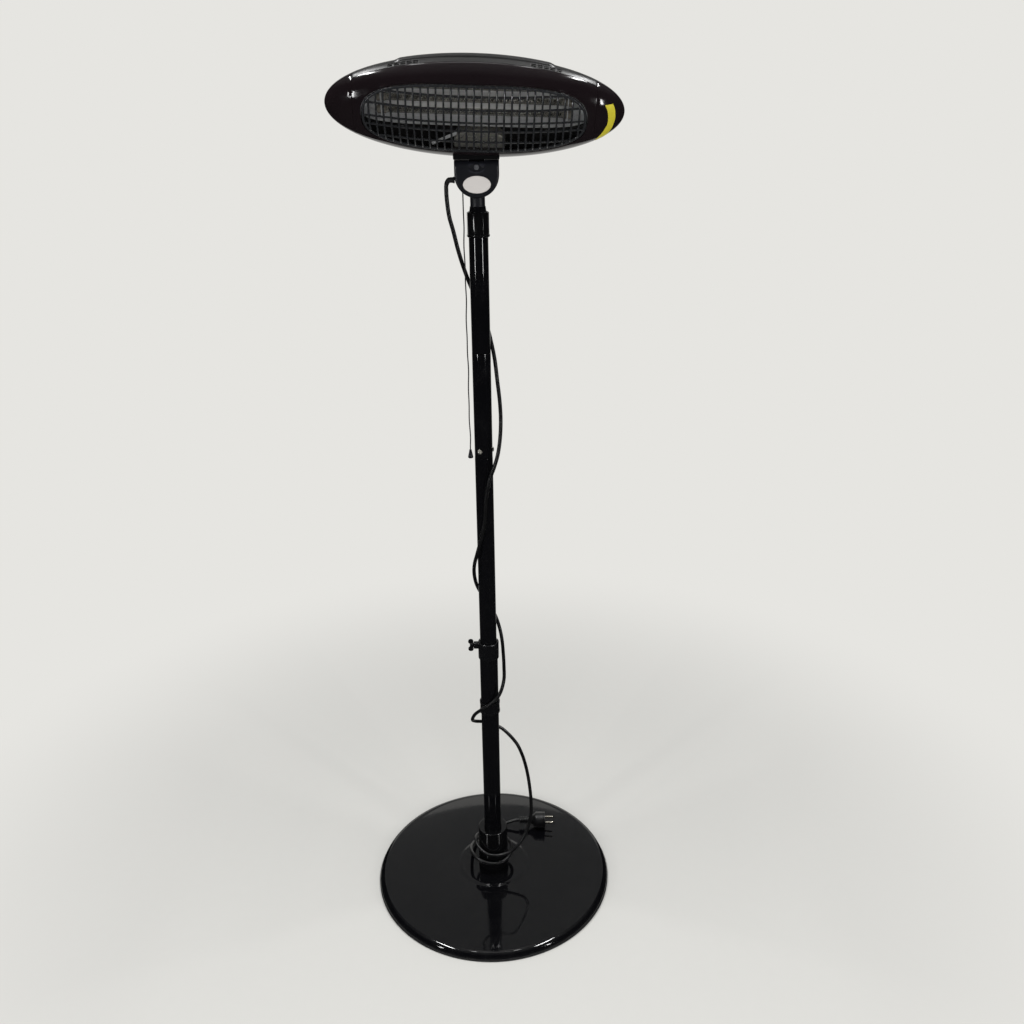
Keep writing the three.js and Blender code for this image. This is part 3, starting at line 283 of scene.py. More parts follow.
# the lead's route from the gland, round the pole and the collar, to the plug
LEAD_ROUTE = [
    (-43, 0, 1458.6), (-46, 0, 1458.4), (-50, 0, 1453), (-51, 0, 1440), (-50, 0, 1420),
    (-47.5, 0, 1400), (-42, 1, 1378), (-35, 4, 1346), (-27, 10, 1316), (-18, 17, 1288),
    (-3, 21.5, 1250), (10, 19.5, 1215), (18, 12, 1183), (23, 5, 1157), (27, 0, 1120),
    (31, -2, 1078), (32, -5, 1045), (30, -11, 1012), (25.5, -17, 985), (18.5, -20.5, 962),
    (10.5, -22, 940), (2.5, -22.5, 900), (0, -22.5, 862), (-8.5, -22, 820), (-16, -18, 790),
    (-22.5, -9, 762), (-24, 0, 738), (-20.5, 12, 708), (-10, 20, 680), (4, 22, 655),
    (15, 17, 634), (23, 6, 612), (27, 0, 590), (29, 0, 560), (30, 0, 528), (29.5, -3, 500),
    (23.5, -14, 480), (14.5, -21, 466), (1, -25, 455), (-14, -23, 443), (-30, -13, 424),
    (-36.5, -2, 403), (-31, 10, 391), (-18, 21, 382), (0, 25, 374), (20, 22, 366),
    (37, 12, 356), (54, 3, 338), (64, 0, 315), (70, 0, 293), (75, 0, 268), (79.5, -2, 236),
    (82.5, -6, 200), (82, -12, 165), (74, -20, 132), (60, -29, 108), (44, -36, 92),
    (27, -38, 83), (8, -38.5, 79), (-12, -36.5, 81), (-28, -26, 88), (-37, -9, 93),
    (-36, 12, 90), (-25, 30, 82), (-6, 40, 74), (16, 38, 68), (34, 24, 64), (40, 4, 62),
    (34, -20, 60), (16, -36, 58), (-8, -41, 60), (-30, -34, 64), (-45, -14, 64),
    (-49, 12, 57), (-46, 38, 45), (-36, 64, 36.5), (-16, 88, 33.5), (10, 104, 34.5),
    (34, 111, 40), (50, 112, 44.8), (57.6, 112, 45),
]

# the yellow film's edges on the right end cap, as pairs of (along, up) in the head
STRIP_EDGES = [
    ((201.2, 24.1), (214.3, 23.0)), ((204.7, 18.2), (217.5, 16.2)), ((206.7, 12.7), (218.9, 9.9)),
    ((208.1, 4.6), (219.7, 0.9)), ((207.9, -6.8), (217.8, -10.5)), ((205.4, -13.7), (214.7, -21.5)),
    ((201.3, -23.3), (208.9, -32.1)), ((195.8, -32.2), (202.8, -38.6)), ((191.2, -40.6), (196.6, -43.6)),
]


def head_matrix():
    """The head's own axes in the frame: x along it, y from front to back, z up its face."""
    half_depth, half_height = HEAD_HALF[1:]
    sine, cosine = math.sin(HEAD_TILT), math.cos(HEAD_TILT)
    drop = math.hypot(half_height * cosine, half_depth * sine)
    low = (half_height ** 2 - half_depth ** 2) * sine * cosine / drop
    place = Matrix.Translation((0, -low, SHELL_BOTTOM + drop))
    return place @ Matrix.Rotation(HEAD_LEAN, 4, "Y") @ Matrix.Rotation(HEAD_TILT, 4, "X")


HEAD = head_matrix()


# ------------------------------------------------------------------ shapes: points and faces

def signed_power(value, power):
    return math.copysign(abs(value) ** power, value)


def smooth_step(share):
    share = min(max(share, 0.0), 1.0)
    return share * share * (3 - 2 * share)


def superellipse(half_x, half_z, power, count, middle=0.0):
    """Points (x, z) of |x/a|^n + |z/b|^n = 1."""
    points = []
    for i in range(count):
        angle = TURN * i / count
        x = half_x * signed_power(math.cos(angle), 2 / power)
        points.append((x, half_z * signed_power(math.sin(angle), 2 / power) + middle))
    return points


def rounded(corners, radius=1.0, steps=4):
    """An outline with each corner turned into an arc. A corner's third number is its own radius."""
    outline = []
    for i, corner in enumerate(corners):
        here = Vector(corner[:2])
        back = Vector(corners[i - 1][:2]) - here
        on = Vector(corners[(i + 1) % len(corners)][:2]) - here
        size = corner[2] if len(corner) > 2 else radius
        half = back.angle(on) / 2
        if size <= 0 or here.x < 1e-6 or half > 88 * DEGREE:
            outline.append(tuple(here))
            continue
        reach = min(size / math.tan(half), 0.48 * back.length, 0.48 * on.length)
        start, end, weight = here + back.normalized() * reach, here + on.normalized() * reach, math.sin(half)
        for step in range(steps + 1):
            t = step / steps
            a, b, c = (1 - t) ** 2, 2 * t * (1 - t) * weight, t * t
            outline.append(tuple((start * a + here * b + end * c) / (a + b + c)))
    return outline


def turned(outline, count=96):
    """A closed outline of (radius, height) turned about the Z axis."""
    points, faces, rings = [], [], []
    for radius, height in outline:
        if radius < 1e-6:
            rings.append([len(points)] * count)
            points.append((0.0, 0.0, height))
            continue
        rings.append(range(len(points), len(points) + count))
        for i in range(count):
            points.append((radius * math.cos(TURN * i / count), radius * math.sin(TURN * i / count), height))
    for low, high in zip(rings, rings[1:] + rings[:1]):
        for i in range(count):
            j = (i + 1) % count
            face = list(dict.fromkeys((low[i], low[j], high[j], high[i])))
            if len(face) > 2:
                faces.append(face)
    return points, faces


def skin(rows, around=False, keep=lambda row, column: True):
    """Quads over rows of points. around joins each row's end to its start."""
    width = len(rows[0])
    points = [point for row in rows for point in row]
    faces = []
    for r in range(len(rows) - 1):
        for i in range(width if around else width - 1):
            j = (i + 1) % width
            if keep(r, i):
                faces.append((r * width + i, r * width + j, (r + 1) * width + j, (r + 1) * width + i))
    return points, faces


def capped(rows):
    """A closed body over rings of points, with a flat end on the first and the last."""
    points, faces = skin(rows, around=True)
    width = len(rows[0])
    last = len(points) - width
    return points, faces + [list(range(width)), list(range(last, last + width))]


def joined(*shapes):
    points, faces = [], []
    for more_points, more_faces in shapes:
        start = len(points)
        points += list(more_points)
        faces += [[start + i for i in face] for face in more_faces]
    return points, faces


def moved(shape, matrix):
    return [tuple(matrix @ Vector(point)) for point in shape[0]], shape[1]


def shifted(shape, x=0.0, y=0.0, z=0.0):
    return moved(shape, Matrix.Translation((x, y, z)))


def turned_x(outline, count=48):
    """An outline of (radius, place) turned about the X axis."""
    return moved(turned(outline, count), Matrix.Rotation(math.pi / 2, 4, "Y"))


def swept(path, radius, count=12, closed=False, turn=0.0):
    """A round bar along a path. radius is one number, or one for each point of the path."""
    path = [Vector(point) for point in path]
    last = len(path) - 1
    radii = radius if hasattr(radius, "__len__") else [radius] * len(path)
    tangents = []
    for i in range(len(path)):
        ahead = path[(i + 1) % len(path)] if closed or i < last else path[i]
        behind = path[i - 1] if closed or i > 0 else path[i]
        tangents.append((ahead - behind).normalized())
    across = tangents[0].orthogonal().normalized()
    rows = []
    for point, tangent, size in zip(path, tangents, radii):
        across = (across - tangent * across.dot(tangent)).normalized()
        other = tangent.cross(across)
        row = []
        for i in range(count):
            angle = TURN * i / count + turn
            row.append(tuple(point + across * size * math.cos(angle) + other * size * math.sin(angle)))
        rows.append(row)
    return skin(rows + rows[:1], around=True) if closed else capped(rows)


def smooth_path(points, steps):
    """A centripetal Catmull-Rom curve through the points, as the frame's own cords use."""
    points = [Vector(point) for point in points]
    ends = [2 * points[0] - points[1], *points, 2 * points[-1] - points[-2]]
    path = []
    for p0, p1, p2, p3 in zip(ends, ends[1:], ends[2:], ends[3:]):
        d0, d1, d2 = ((b - a).length ** 0.5 for a, b in ((p0, p1), (p1, p2), (p2, p3)))
        t1 = ((p1 - p0) / d0 - (p2 - p0) / (d0 + d1) + (p2 - p1) / d1) * d1
        t2 = ((p2 - p1) / d1 - (p3 - p1) / (d1 + d2) + (p3 - p2) / d2) * d1
        for step in range(steps):
            t = step / steps
            path.append(p1 + t1 * t + (3 * (p2 - p1) - 2 * t1 - t2) * t * t
                        + (2 * (p1 - p2) + t1 + t2) * t ** 3)
    return path + [points[-1]]


def bar(outline, levels):
    """An outline of (x, y) run up through levels of (height, inset), with flat ends."""
    middle = sum((Vector(point) for point in outline), Vector((0, 0))) / len(outline)
    rows = []
    for height, inset in levels:
        row = []
        for point in outline:
            arm = Vector(point) - middle
            place = middle + arm * (1 - inset / arm.length)
            row.append((place.x, place.y, height))
        rows.append(row)
    return capped(rows)


def round_block(low, high, radius, steps=3):
    """A block with rounded upright edges and softened ends, between two corners."""
    corners = [(low[0], low[1]), (high[0], low[1]), (high[0], high[1]), (low[0], high[1])]
    soft = radius / 2
    levels = [(low[2], soft), (low[2] + soft * 0.3, soft * 0.3), (low[2] + soft, 0),
              (high[2] - soft, 0), (high[2] - soft * 0.3, soft * 0.3), (high[2], soft)]
    return bar(rounded(corners, radius, steps), levels)


def domed_screw(radius, height, shank_radius, shank_length, count=48):
    """A domed screw head with a cross recess, seated at height 0 and pointing up."""
    arm, half_slot, depth = radius * 0.62, radius * 0.13, height * 0.55
    rows = []
    rings = 14
    for ring in range(rings + 1):
        r = radius * ring / rings
        row = []
        for i in range(count):
            angle = TURN * i / count
            x, y = r * math.cos(angle), r * math.sin(angle)
            dome = height * math.sqrt(max(1 - (0.93 * r / radius) ** 2, 0.0))
            near = min(max(abs(x) - half_slot, abs(y) - arm), max(abs(y) - half_slot, abs(x) - arm))
            dome -= depth * (1 - smooth_step(near / (radius * 0.08) + 0.5)) * (1 - 0.6 * r / radius)
            row.append((x, y, dome))
        rows.append(row)
    edge = ((radius, height * 0.1), (radius * 0.97, 0.0), (shank_radius, 0.0), (shank_radius, -shank_length))
    for r, z in edge:
        angles = [TURN * i / count for i in range(count)]
        rows.append([(r * math.cos(angle), r * math.sin(angle), z) for angle in angles])
    return capped(rows)


# ------------------------------------------------------------------ making a piece

def crease(mesh, degrees):
    """Smooth shading that stops at edges sharper than an angle."""
    mesh.shade_smooth()
    mesh.set_sharp_from_angle(angle=degrees * DEGREE)


def raw_object(name, shape):
    """An object from points and faces in millimetres, welded and with its faces pointing out."""
    mesh = bpy.data.meshes.new(name)
    mesh.from_pydata([(x * MM, y * MM, z * MM) for x, y, z in shape[0]], [], shape[1])
    work = bmesh.new()
    work.from_mesh(mesh)
    bmesh.ops.remove_doubles(work, verts=work.verts, dist=1e-6)
    bmesh.ops.recalc_face_normals(work, faces=work.faces)
    work.to_mesh(mesh)
    work.free()
    made = bpy.data.objects.new(name, mesh)
    bpy.context.scene.collection.objects.link(made)
    return made


def settle(made, *modifiers):
    """Adds modifiers, given as (kind, settings), and applies them to the mesh."""
    for kind, settings in modifiers:
        added = made.modifiers.new(kind.title(), kind)
        for name, value in settings.items():
            setattr(added, name, value)
    graph = bpy.context.evaluated_depsgraph_get()
    mesh = bpy.data.meshes.new_from_object(made.evaluated_get(graph))
    made.modifiers.clear()
    old, made.data = made.data, mesh
    bpy.data.meshes.remove(old)
    mesh.name = made.name
    return made


def cut(made, *shapes):
    """Cuts closed shapes out of an object, and removes them."""
    for shape in shapes:
        tool = raw_object(made.name + "_cut", shape)
        settle(made, ("BOOLEAN", {"operation": "DIFFERENCE", "solver": "EXACT", "object": tool}))
        bpy.data.objects.remove(tool)
    return made


def dress(made, look, body, replaces=(), degrees=35):
    """Gives an object its finish, its shading and the CAD body that it rides on."""
    made.data.materials.clear()
    made.data.materials.append(material(look))
    crease(made.data, degrees)
    if body:
        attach(made, body)
    if replaces:
        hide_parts(*replaces)
    return made


def piece(name, shape, look, body, replaces=(), degrees=35):
    return dress(raw_object(name, shape), look, body, replaces, degrees)


def repaint(look, *nodes):
    """Gives carried-over CAD nodes a finish, on the objects and not on their meshes."""
    for node in nodes:
        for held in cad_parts[node].material_slots:
            held.link = "OBJECT"
            held.material = material(look)


SHELL_ROUND = ("BEVEL", {
    "width": 0.5 * MM, "segments": 2, "limit_method": "ANGLE", "angle_limit": 40 * DEGREE,
})


# ------------------------------------------------------------------ finishes

def add(tree, kind, values=None, **settings):
    """Adds one node: settings are its own, values are numbers or sockets for its inputs."""
    made = tree.nodes.new("ShaderNode" + kind)
    for name, value in settings.items():
        setattr(made, name, value)
    for name, value in (values or {}).items():
        if isinstance(value, bpy.types.NodeSocket):
            tree.links.new(value, made.inputs[name])
        else:
            made.inputs[name].default_value = value
    return made


def textured(tree, place, sizes, pattern):
    """The socket of a pattern.

    A pattern is noise, as (grain in millimetres, detail, roughness), or a function that adds nodes of its
    own. A grain can also be the name of one of the sizes, or three lengths for a stretched grain.
    """
    if callable(pattern):
        return pattern(tree, place, sizes)
    grain, detail, rough = pattern
    if isinstance(grain, str):
        grain = getattr(sizes, grain) / MM
    if isinstance(grain, tuple):
        stretch = [1 / (size * MM) for size in grain]
        place = add(tree, "Mapping", {"Vector": place, "Scale": stretch}).outputs[0]
        grain = 1 / MM
    values = {"Vector": place, "Scale": 1 / (grain * MM), "Detail": detail, "Roughness": rough}
    return add(tree, "TexNoise", values).outputs[0]


def settled_dust(tree, place, sizes):
    """Fine specks, only where the cloud of dust is thick."""
    cloud = add(tree, "MapRange", {0: textured(tree, place, sizes, DUST), 1: 0.45, 2: 0.8})
    specks = add(tree, "MapRange", {0: textured(tree, place, sizes, (1.54, 2.0, 0.5)), 1: 0.55, 2: 0.75})
    return add(tree, "Math", {0: cloud.outputs[0], 1: specks.outputs[0]}, operation="MULTIPLY").outputs[0]


def dented_sheet(tree, place, sizes):
    """Shallow dents, with the rolling lines over them."""
    dents, lines = (textured(tree, place, sizes, pattern) for pattern in ((38.5, 2.0, 0.5), ROLLING))
    return add(tree, "Math", {0: dents, 1: 6.0, 2: lines}, operation="MULTIPLY_ADD").outputs[0]


def rubbed_edges(tree, place, sizes):
    return add(tree, "NewGeometry").outputs["Pointiness"]


def pores(tree, place, sizes):
    return add(tree, "TexVoronoi", {"Vector": place, "Scale": 1 / (1.11 * MM)}).outputs[0]


def weave(tree, place, sizes):
    """Slanting threads, drawn 3.3 mm apart, where the real ones are finer than the picture shows."""
    values = {"Vector": place, "Scale": 1 / (3.33 * MM), "Distortion": 1.0}
    return add(tree, "TexWave", values, bands_direction="DIAGONAL").outputs["Fac"]


def tent_painted_light_height(tree, place, sizes):
    # Height on the tent. Its painted light follows this: the cloth is painted paler towards the top.
    return add(tree, "SeparateXYZ", {0: place}).outputs[2]


# patterns that more than one layer uses, as (grain in millimetres, detail, roughness)
DUST = (35.7, 8.0, 0.7)
FLOW = (111.0, 2.0, 0.5)
SCUFF = (16.7, 6.0, 0.65)
MOULD = ("mould_grain", 3.0, 0.5)
MARKS = (9.09, 6.0, 0.65)
ROLLING = ((167.0, 1.11, 1.11), 3.0, 0.5)
RUBBED = ((33.3, 1.11, 1.11), 4.0, 0.5)
DRAWN = ((25.0, 1.67, 1.67), 3.0, 0.5)
BRUSHED = ((16.7, 1.11, 0.625), 3.0, 0.5)
PASSIVATION = (8.33, 3.0, 0.5)
OIL = (3.33, 4.0, 0.5)
FIRED = (2.5, 4.0, 0.5)
WAXY = (6.67, 4.0, 0.5)
RUNS = (5.56, 3.0, 0.5)
HANDLED = (14.3, 6.0, 0.7)
FADE = (6.25, 5.0, 0.5)

# ABS from a polished mould: near mirror gloss with a slow sink and flow waviness.
POLISHED_ABS = {
    "roughness": 0.1, "sockets": {"IOR": 1.54}, "tint": (FLOW, 1.0, 1.35, 0.3, 0.7),
    "gloss": (SCUFF, 0.07, 0.17, 0.35, 0.75), "relief": (FLOW, 0.4, 0.25),
}

# Each finish: the material's name, its colour among the colours, and what make_finish takes.
FINISHES = {
    # Stove enamel on steel: deep gloss, with long soft ripples and a little dust and rubbing.
    "enamel": ("gloss_black_stove_enamel", "enamel", {
        "roughness": 0.06, "sockets": {"IOR": 1.52}, "tint": (settled_dust, 1.0, "2b2b2b"),
        "gloss": (DUST, 0.035, 0.11, 0.3, 0.75), "relief": (("orange_peel", 1.0, 0.5), 0.35, 0.03)}),
    # Polished ABS in a warm black, on the front shell and the end caps.
    "gloss_abs": ("gloss_black_moulded_abs", "shell", POLISHED_ABS),
    # Polished ABS in a neutral black, on the collar, the sleeve and the seat under the head.
    "gloss_trim": ("gloss_neutral_moulded_abs", "trim", POLISHED_ABS),
    # ABS from a lightly blasted mould: an even grey sheen under a high lamp, on the rear shell.
    "satin_abs": ("satin_black_moulded_abs", "rear", {
        "roughness": 0.36, "sockets": {"IOR": 1.54}, "tint": ((71.4, 4.0, 0.5), 0.85, 1.3),
        "gloss": ((71.4, 4.0, 0.5), 0.32, 0.42, 0.3, 0.7), "relief": (MOULD, 0.3, 0.04)}),
    # Glass-filled nylon from a grained mould: soft sheen and a fine pebble, paler on rubbed edges.
    # The real grain is about 0.15 mm. It is drawn coarser, so that it shows.
    "satin_nylon": ("satin_black_moulded_nylon", "moulding", {
        "roughness": 0.4, "sockets": {"IOR": 1.53}, "tint": (rubbed_edges, 1.0, 2.2, 0.52, 0.6),
        "gloss": ((28.6, 4.0, 0.5), 0.33, 0.47, 0.3, 0.7), "relief": (MOULD, 0.35, 0.06)}),
    # Nylon from a polished mould: black with a tight sheen and handling marks.
    "polished_nylon": ("polished_black_moulded_nylon", "clamp", {
        "roughness": 0.24, "sockets": {"IOR": 1.53}, "tint": (MARKS, 1.0, 1.8, 0.5, 0.8),
        "gloss": (MARKS, 0.17, 0.34, 0.35, 0.75), "relief": (MARKS, 0.25, 0.05)}),
    # Chemically blacked steel: a dull grey oxide skin with a soft oily shine.
    "oxide": ("black_oxide_steel", "oxide", {
        "roughness": 0.3, "tint": (OIL, 0.6, 1.6), "gloss": (OIL, 0.24, 0.4, 0.3, 0.7)}),
    # Extruded EPDM: dull and slightly powdery, with fine lines along its length.
    "rubber": ("black_extruded_epdm", "rubber", {
        "roughness": 0.78, "sockets": {"IOR": 1.48}, "tint": ((11.1, 8.0, 0.5), 1.0, 2.6, 0.4, 0.8),
        "relief": (((16.7, 16.7, 0.417), 2.0, 0.5), 0.5, 0.1)}),
    # Grey iron as it leaves the sand: rough, matte and mottled with rust.
    "casting": ("sand_cast_grey_iron", "casting", {
        "roughness": 0.85, "metallic": 0.4, "tint": ((45.5, 8.0, 0.7), 1.0, "6a4f3c", 0.5, 0.7),
        "relief": (("casting_grain", 6.0, 0.5), 0.8, 0.5)}),
    # Bright zinc plate: a soft metal shine under a thin milky passivation, faintly blue and straw.
    "zinc": ("bright_zinc_plated_steel", "zinc", {
        "roughness": 0.3, "metallic": 0.8, "tint": (PASSIVATION, 0.82, "c9c4b2"),
        "gloss": (PASSIVATION, 0.22, 0.4, 0.3, 0.7), "relief": (PASSIVATION, 0.3, 0.02)}),
    # Nickel on brass pins: a warm mirror with fine lengthwise rubbing from sockets.
    "nickel": ("nickel_plated_brass", "nickel", {
        "roughness": 0.18, "metallic": 1.0, "gloss": (RUBBED, 0.1, 0.32, 0.3, 0.7),
        "relief": (RUBBED, 0.3, 0.02)}),
    # Bright rolled aluminium under a thin milky oxide: rolling lines along it and shallow dents.
    "aluminium": ("satin_rolled_aluminium", "aluminium", {
        "roughness": 0.4, "metallic": 0.6, "tint": (ROLLING, 1.0, 0.72, 0.35, 0.7),
        "gloss": (ROLLING, 0.34, 0.5, 0.3, 0.7), "relief": (dented_sheet, 0.4, 0.2)}),
    # Clear quartz tube: glass gloss with faint drawing lines, and the dark coil seen through it.
    "quartz": ("clear_quartz_glass", "quartz", {
        "roughness": 0.04, "sockets": {"IOR": 1.46, "Transmission Weight": 1.0}, "tint": (DRAWN, 1.0, 0.9),
        "gloss": (DRAWN, 0.02, 0.1, 0.3, 0.7)}),
    # Iron-chrome-aluminium wire after firing: dark oxide grey with little shine.
    "coil": ("oxidised_resistance_wire", "coil", {
        "roughness": 0.5, "metallic": 0.9, "tint": (FIRED, 0.6, 1.5), "gloss": (FIRED, 0.4, 0.65, 0.3, 0.7)}),
    # Unglazed grey steatite: chalky, heat-stained, with fine pores.
    "ceramic": ("unglazed_steatite", "ceramic", {
        "roughness": 0.62, "sockets": {"IOR": 1.55}, "tint": ((12.5, 5.0, 0.5), 1.0, 0.72, 0.45, 0.75),
        "relief": (pores, 0.3, 0.1)}),
    # Natural nylon moulding: pale, waxy and slightly yellowed.
    "switch": ("natural_moulded_nylon", "nylon", {
        "roughness": 0.45, "sockets": {"IOR": 1.53}, "tint": (WAXY, 1.0, 0.85), "relief": (WAXY, 0.2, 0.05)}),
    # Epoxy coating on welded wire: gloss that pools at the joints, with small runs.
    "wire": ("black_epoxy_coated_wire", "wire", {
        "roughness": 0.22, "sockets": {"IOR": 1.55}, "gloss": (RUNS, 0.14, 0.34, 0.3, 0.7),
        "relief": (RUNS, 0.4, 0.1)}),
    # Soft PVC sheath: a low waxy sheen, faint die lines and handling dust.
    "sheath": ("black_extruded_pvc", "sheath", {
        "roughness": 0.38, "sockets": {"IOR": 1.53}, "tint": (HANDLED, 1.0, 2.4, 0.45, 0.8),
        "gloss": (HANDLED, 0.3, 0.5, 0.3, 0.7), "relief": ((1.43, 2.0, 0.5), 0.25, 0.05)}),
    # Braided polyester cord: dull black with a slanting weave and a little fluff.
    "braid": ("black_polyester_braid", "sheath", {
        "roughness": 0.85, "sockets": {"IOR": 1.5, "Sheen Weight": 0.2}, "tint": (weave, 0.6, 1.5),
        "relief": (weave, 0.6, 0.1)}),
    # Lacquered aluminium foil: pale silver with a fine brushed line under a clear coat.
    "badge": ("lacquered_silver_foil", "badge", {
        "roughness": 0.34, "sockets": {"Coat Weight": 0.5, "Coat Roughness": 0.12},
        "tint": (BRUSHED, 0.86, 1.0), "gloss": (BRUSHED, 0.26, 0.46, 0.3, 0.7)}),
    # Matte polyester film: flat strong yellow, a little faded and dusty.
    "strip": ("matte_yellow_polyester_film", "strip", {
        "roughness": 0.48, "sockets": {"IOR": 1.57}, "tint": (FADE, 1.0, 0.78), "relief": (FADE, 0.2, 0.05)}),
    # Painted studio floor: pale and matte. The stage adds the backdrop's white further off.
    "floor": ("pale_studio_floor", "floor", {"roughness": 0.7, "tint": ((25.0, 6.0, 0.5), 0.98, 1.0)}),
    # Dark cloth round the front, out of the picture, so that gloss black reflects a dim room.
    # It is painted paler on top: painted light from above, which the gloss surfaces reflect.
    "dark_tent": ("dark_studio_cloth", "tent", {
        "roughness": 0.9, "tint": (tent_painted_light_height, 1.0, "d4d4d4", 4.4, 6.8)}),
    # Pale grey cloth high behind the heater, which the base plate reflects.
    "pale_cloth": ("pale_studio_cloth", "cloth", {
        "roughness": 0.9, "tint": ((1667.0, 1.0, 0.5), "dcdcdc", "ececec")}),
    # Black card on the floor round the heater, which only the gloss surfaces see.
    "floor_card": ("black_studio_card", "card", {
        "roughness": 0.9, "tint": ((333.0, 2.0, 0.5), "101010", "181818")}),
}
made_finishes = {}


def shade(base, value):
    """A colour given in hex, or the finish's own colour times a share."""
    if isinstance(value, str):
        return linear(value)
    return [base[0] * value, base[1] * value, base[2] * value, 1.0]


def make_finish(sizes, name, base, roughness, metallic=0.0, sockets=None, tint=None, gloss=None, relief=None):
    """A material with even values on the shader's own sockets and up to three patterns over them.

    tint is (pattern, one colour, other colour): the colour runs from one to the other. gloss is
    (pattern, least roughness, most roughness). Both can end with where in the pattern they start and
    end. relief is (pattern, strength, depth in millimetres).
    """
    made = bpy.data.materials.new(name)
    made.use_nodes = True
    tree = made.node_tree
    shader = tree.nodes["Principled BSDF"]
    even = {"Base Color": base, "Roughness": roughness, "Metallic": metallic, **(sockets or {})}
    for socket, value in even.items():
        shader.inputs[socket].default_value = value
    place = add(tree, "TexCoord").outputs["Object"]
    drawn = {}
    for pattern, *_ in filter(None, (tint, gloss, relief)):
        if pattern not in drawn:
            drawn[pattern] = textured(tree, place, sizes, pattern)
    if tint:
        pattern, one, other, *span = tint
        share = drawn[pattern]
        if span:
            share = add(tree, "MapRange", {0: share, 1: span[0], 2: span[1]}).outputs[0]
        values = {0: share, 6: shade(base, one), 7: shade(base, other)}
        mixed = add(tree, "Mix", values, data_type="RGBA")
        tree.links.new(mixed.outputs[2], shader.inputs["Base Color"])
    if gloss:
        pattern, least, most, start, end = gloss
        ranged = add(tree, "MapRange", {0: drawn[pattern], 1: start, 2: end, 3: least, 4: most})
        tree.links.new(ranged.outputs[0], shader.inputs["Roughness"])
    if relief:
        pattern, strength, depth = relief
        bump = add(tree, "Bump", {"Strength": strength, "Distance": depth * MM, "Height": drawn[pattern]})
        tree.links.new(bump.outputs[0], shader.inputs["Normal"])
    return made


def material(look):
    """The material of a finish, made once from the scene's sizes and colours."""
    if look not in made_finishes:
        scene = bpy.context.scene
        name, colour_name, layers = FINISHES[look]
        base = getattr(scene.heater_colours, colour_name)
        made_finishes[look] = make_finish(scene.heater_sizes, name, base, **layers)
    return made_finishes[look]


# ------------------------------------------------------------------ stage and cords

CAMERA_PLACE = (0.0501, -1.724, 1.614)        # metres, as solved from the photograph
CAMERA_PITCH = 23.47 * DEGREE
CAMERA_ROLL = -0.74 * DEGREE
CAMERA_LENS = 35.33
BACKDROP = linear("e6e5e1")
SKY = linear("8a8b8d")
FLOOR_HALF = 12000                    # half of the floor's side
FLOOR_FADE = (0.5, 1.5)               # metres from the pole, where the floor turns to backdrop
TENT_RADIUS = 7000
CLOTH_RADIUS = 6900
CARD_RADII = (256, 1500, 3500, 6990)
CARD_HEIGHT = 2

# each lamp in metres and watts: name, place, what it points at, width, height, power
LAMPS = (
    ("overhead_middle", (0, -0.3, 3.4), (0, -0.25, 0.8), 0.7, 0.18, 0.8),
    ("overhead_near_left", (-0.53, -0.2, 3.4), (-0.4, -0.2, 0.8), 0.34, 0.15, 1.6),
    ("overhead_far_left", (-1.3, -0.1, 3.4), (-0.6, -0.1, 0.8), 1.2, 0.12, 40),
    ("overhead_near_right", (0.53, -0.2, 3.4), (0.4, -0.2, 0.8), 0.34, 0.15, 1.6),
    ("overhead_far_right", (1.3, -0.1, 3.4), (0.6, -0.1, 0.8), 1.2, 0.12, 40),
    ("left_strip", (-1.87, -1.8, 1.24), (0, 0, 1.24), 0.12, 0.64, 8),
    ("right_strip", (1.95, -1.8, 1.24), (0, 0, 1.24), 0.12, 0.64, 8),
    ("front_fill", (0, -3.2, 1.6), (0, 0, 1.0), 2.0, 2.0, 45),
)


def seen_rays(tree):
    """1 for rays from the camera, also by way of a mirror or glass, and 0 for the others."""
    path = add(tree, "LightPath")
    seen = path.outputs["Is Camera Ray"]
    for kind in ("Is Glossy Ray", "Is Transmission Ray"):
        seen = add(tree, "Math", {0: seen, 1: path.outputs[kind]}, operation="ADD", use_clamp=True).outputs[0]
    return seen


def meet_backdrop(tree):
    """Turns the floor into the backdrop's even white further off, for what the camera sees."""
    place = add(tree, "TexCoord").outputs["Object"]
    far = add(tree, "VectorMath", {0: place}, operation="LENGTH").outputs["Value"]
    near, end = FLOOR_FADE
    fade = add(tree, "MapRange", {0: far, 1: near, 2: end}, interpolation_type="SMOOTHSTEP")
    share = add(tree, "Math", {0: seen_rays(tree), 1: fade.outputs[0]}, operation="MULTIPLY")
    glow = add(tree, "Emission", {"Color": BACKDROP, "Strength": 1.0})
    shader = tree.nodes["Principled BSDF"]
    mixed = add(tree, "MixShader", {0: share.outputs[0], 1: shader.outputs[0], 2: glow.outputs[0]})
    tree.links.new(mixed.outputs[0], tree.nodes["Material Output"].inputs["Surface"])


def dome_patch(radius, elevations, azimuths, side):
    """Part of a dome round the origin, over angles in degrees; side is -1 for the viewer's side."""
    rows = []
    for elevation in elevations:
        flat, height = radius * math.cos(elevation * DEGREE), radius * math.sin(elevation * DEGREE)
        rows.append([(flat * math.sin(azimuth * DEGREE), side * flat * math.cos(azimuth * DEGREE), height)
                     for azimuth in azimuths])
    return skin(rows)


def floor_ring():
    rows = []
    for radius in CARD_RADII:
        rows.append([(radius * math.sin(azimuth * DEGREE), -radius * math.cos(azimuth * DEGREE), CARD_HEIGHT)
                     for azimuth in range(-150, 151, 10)])
    return skin(rows)


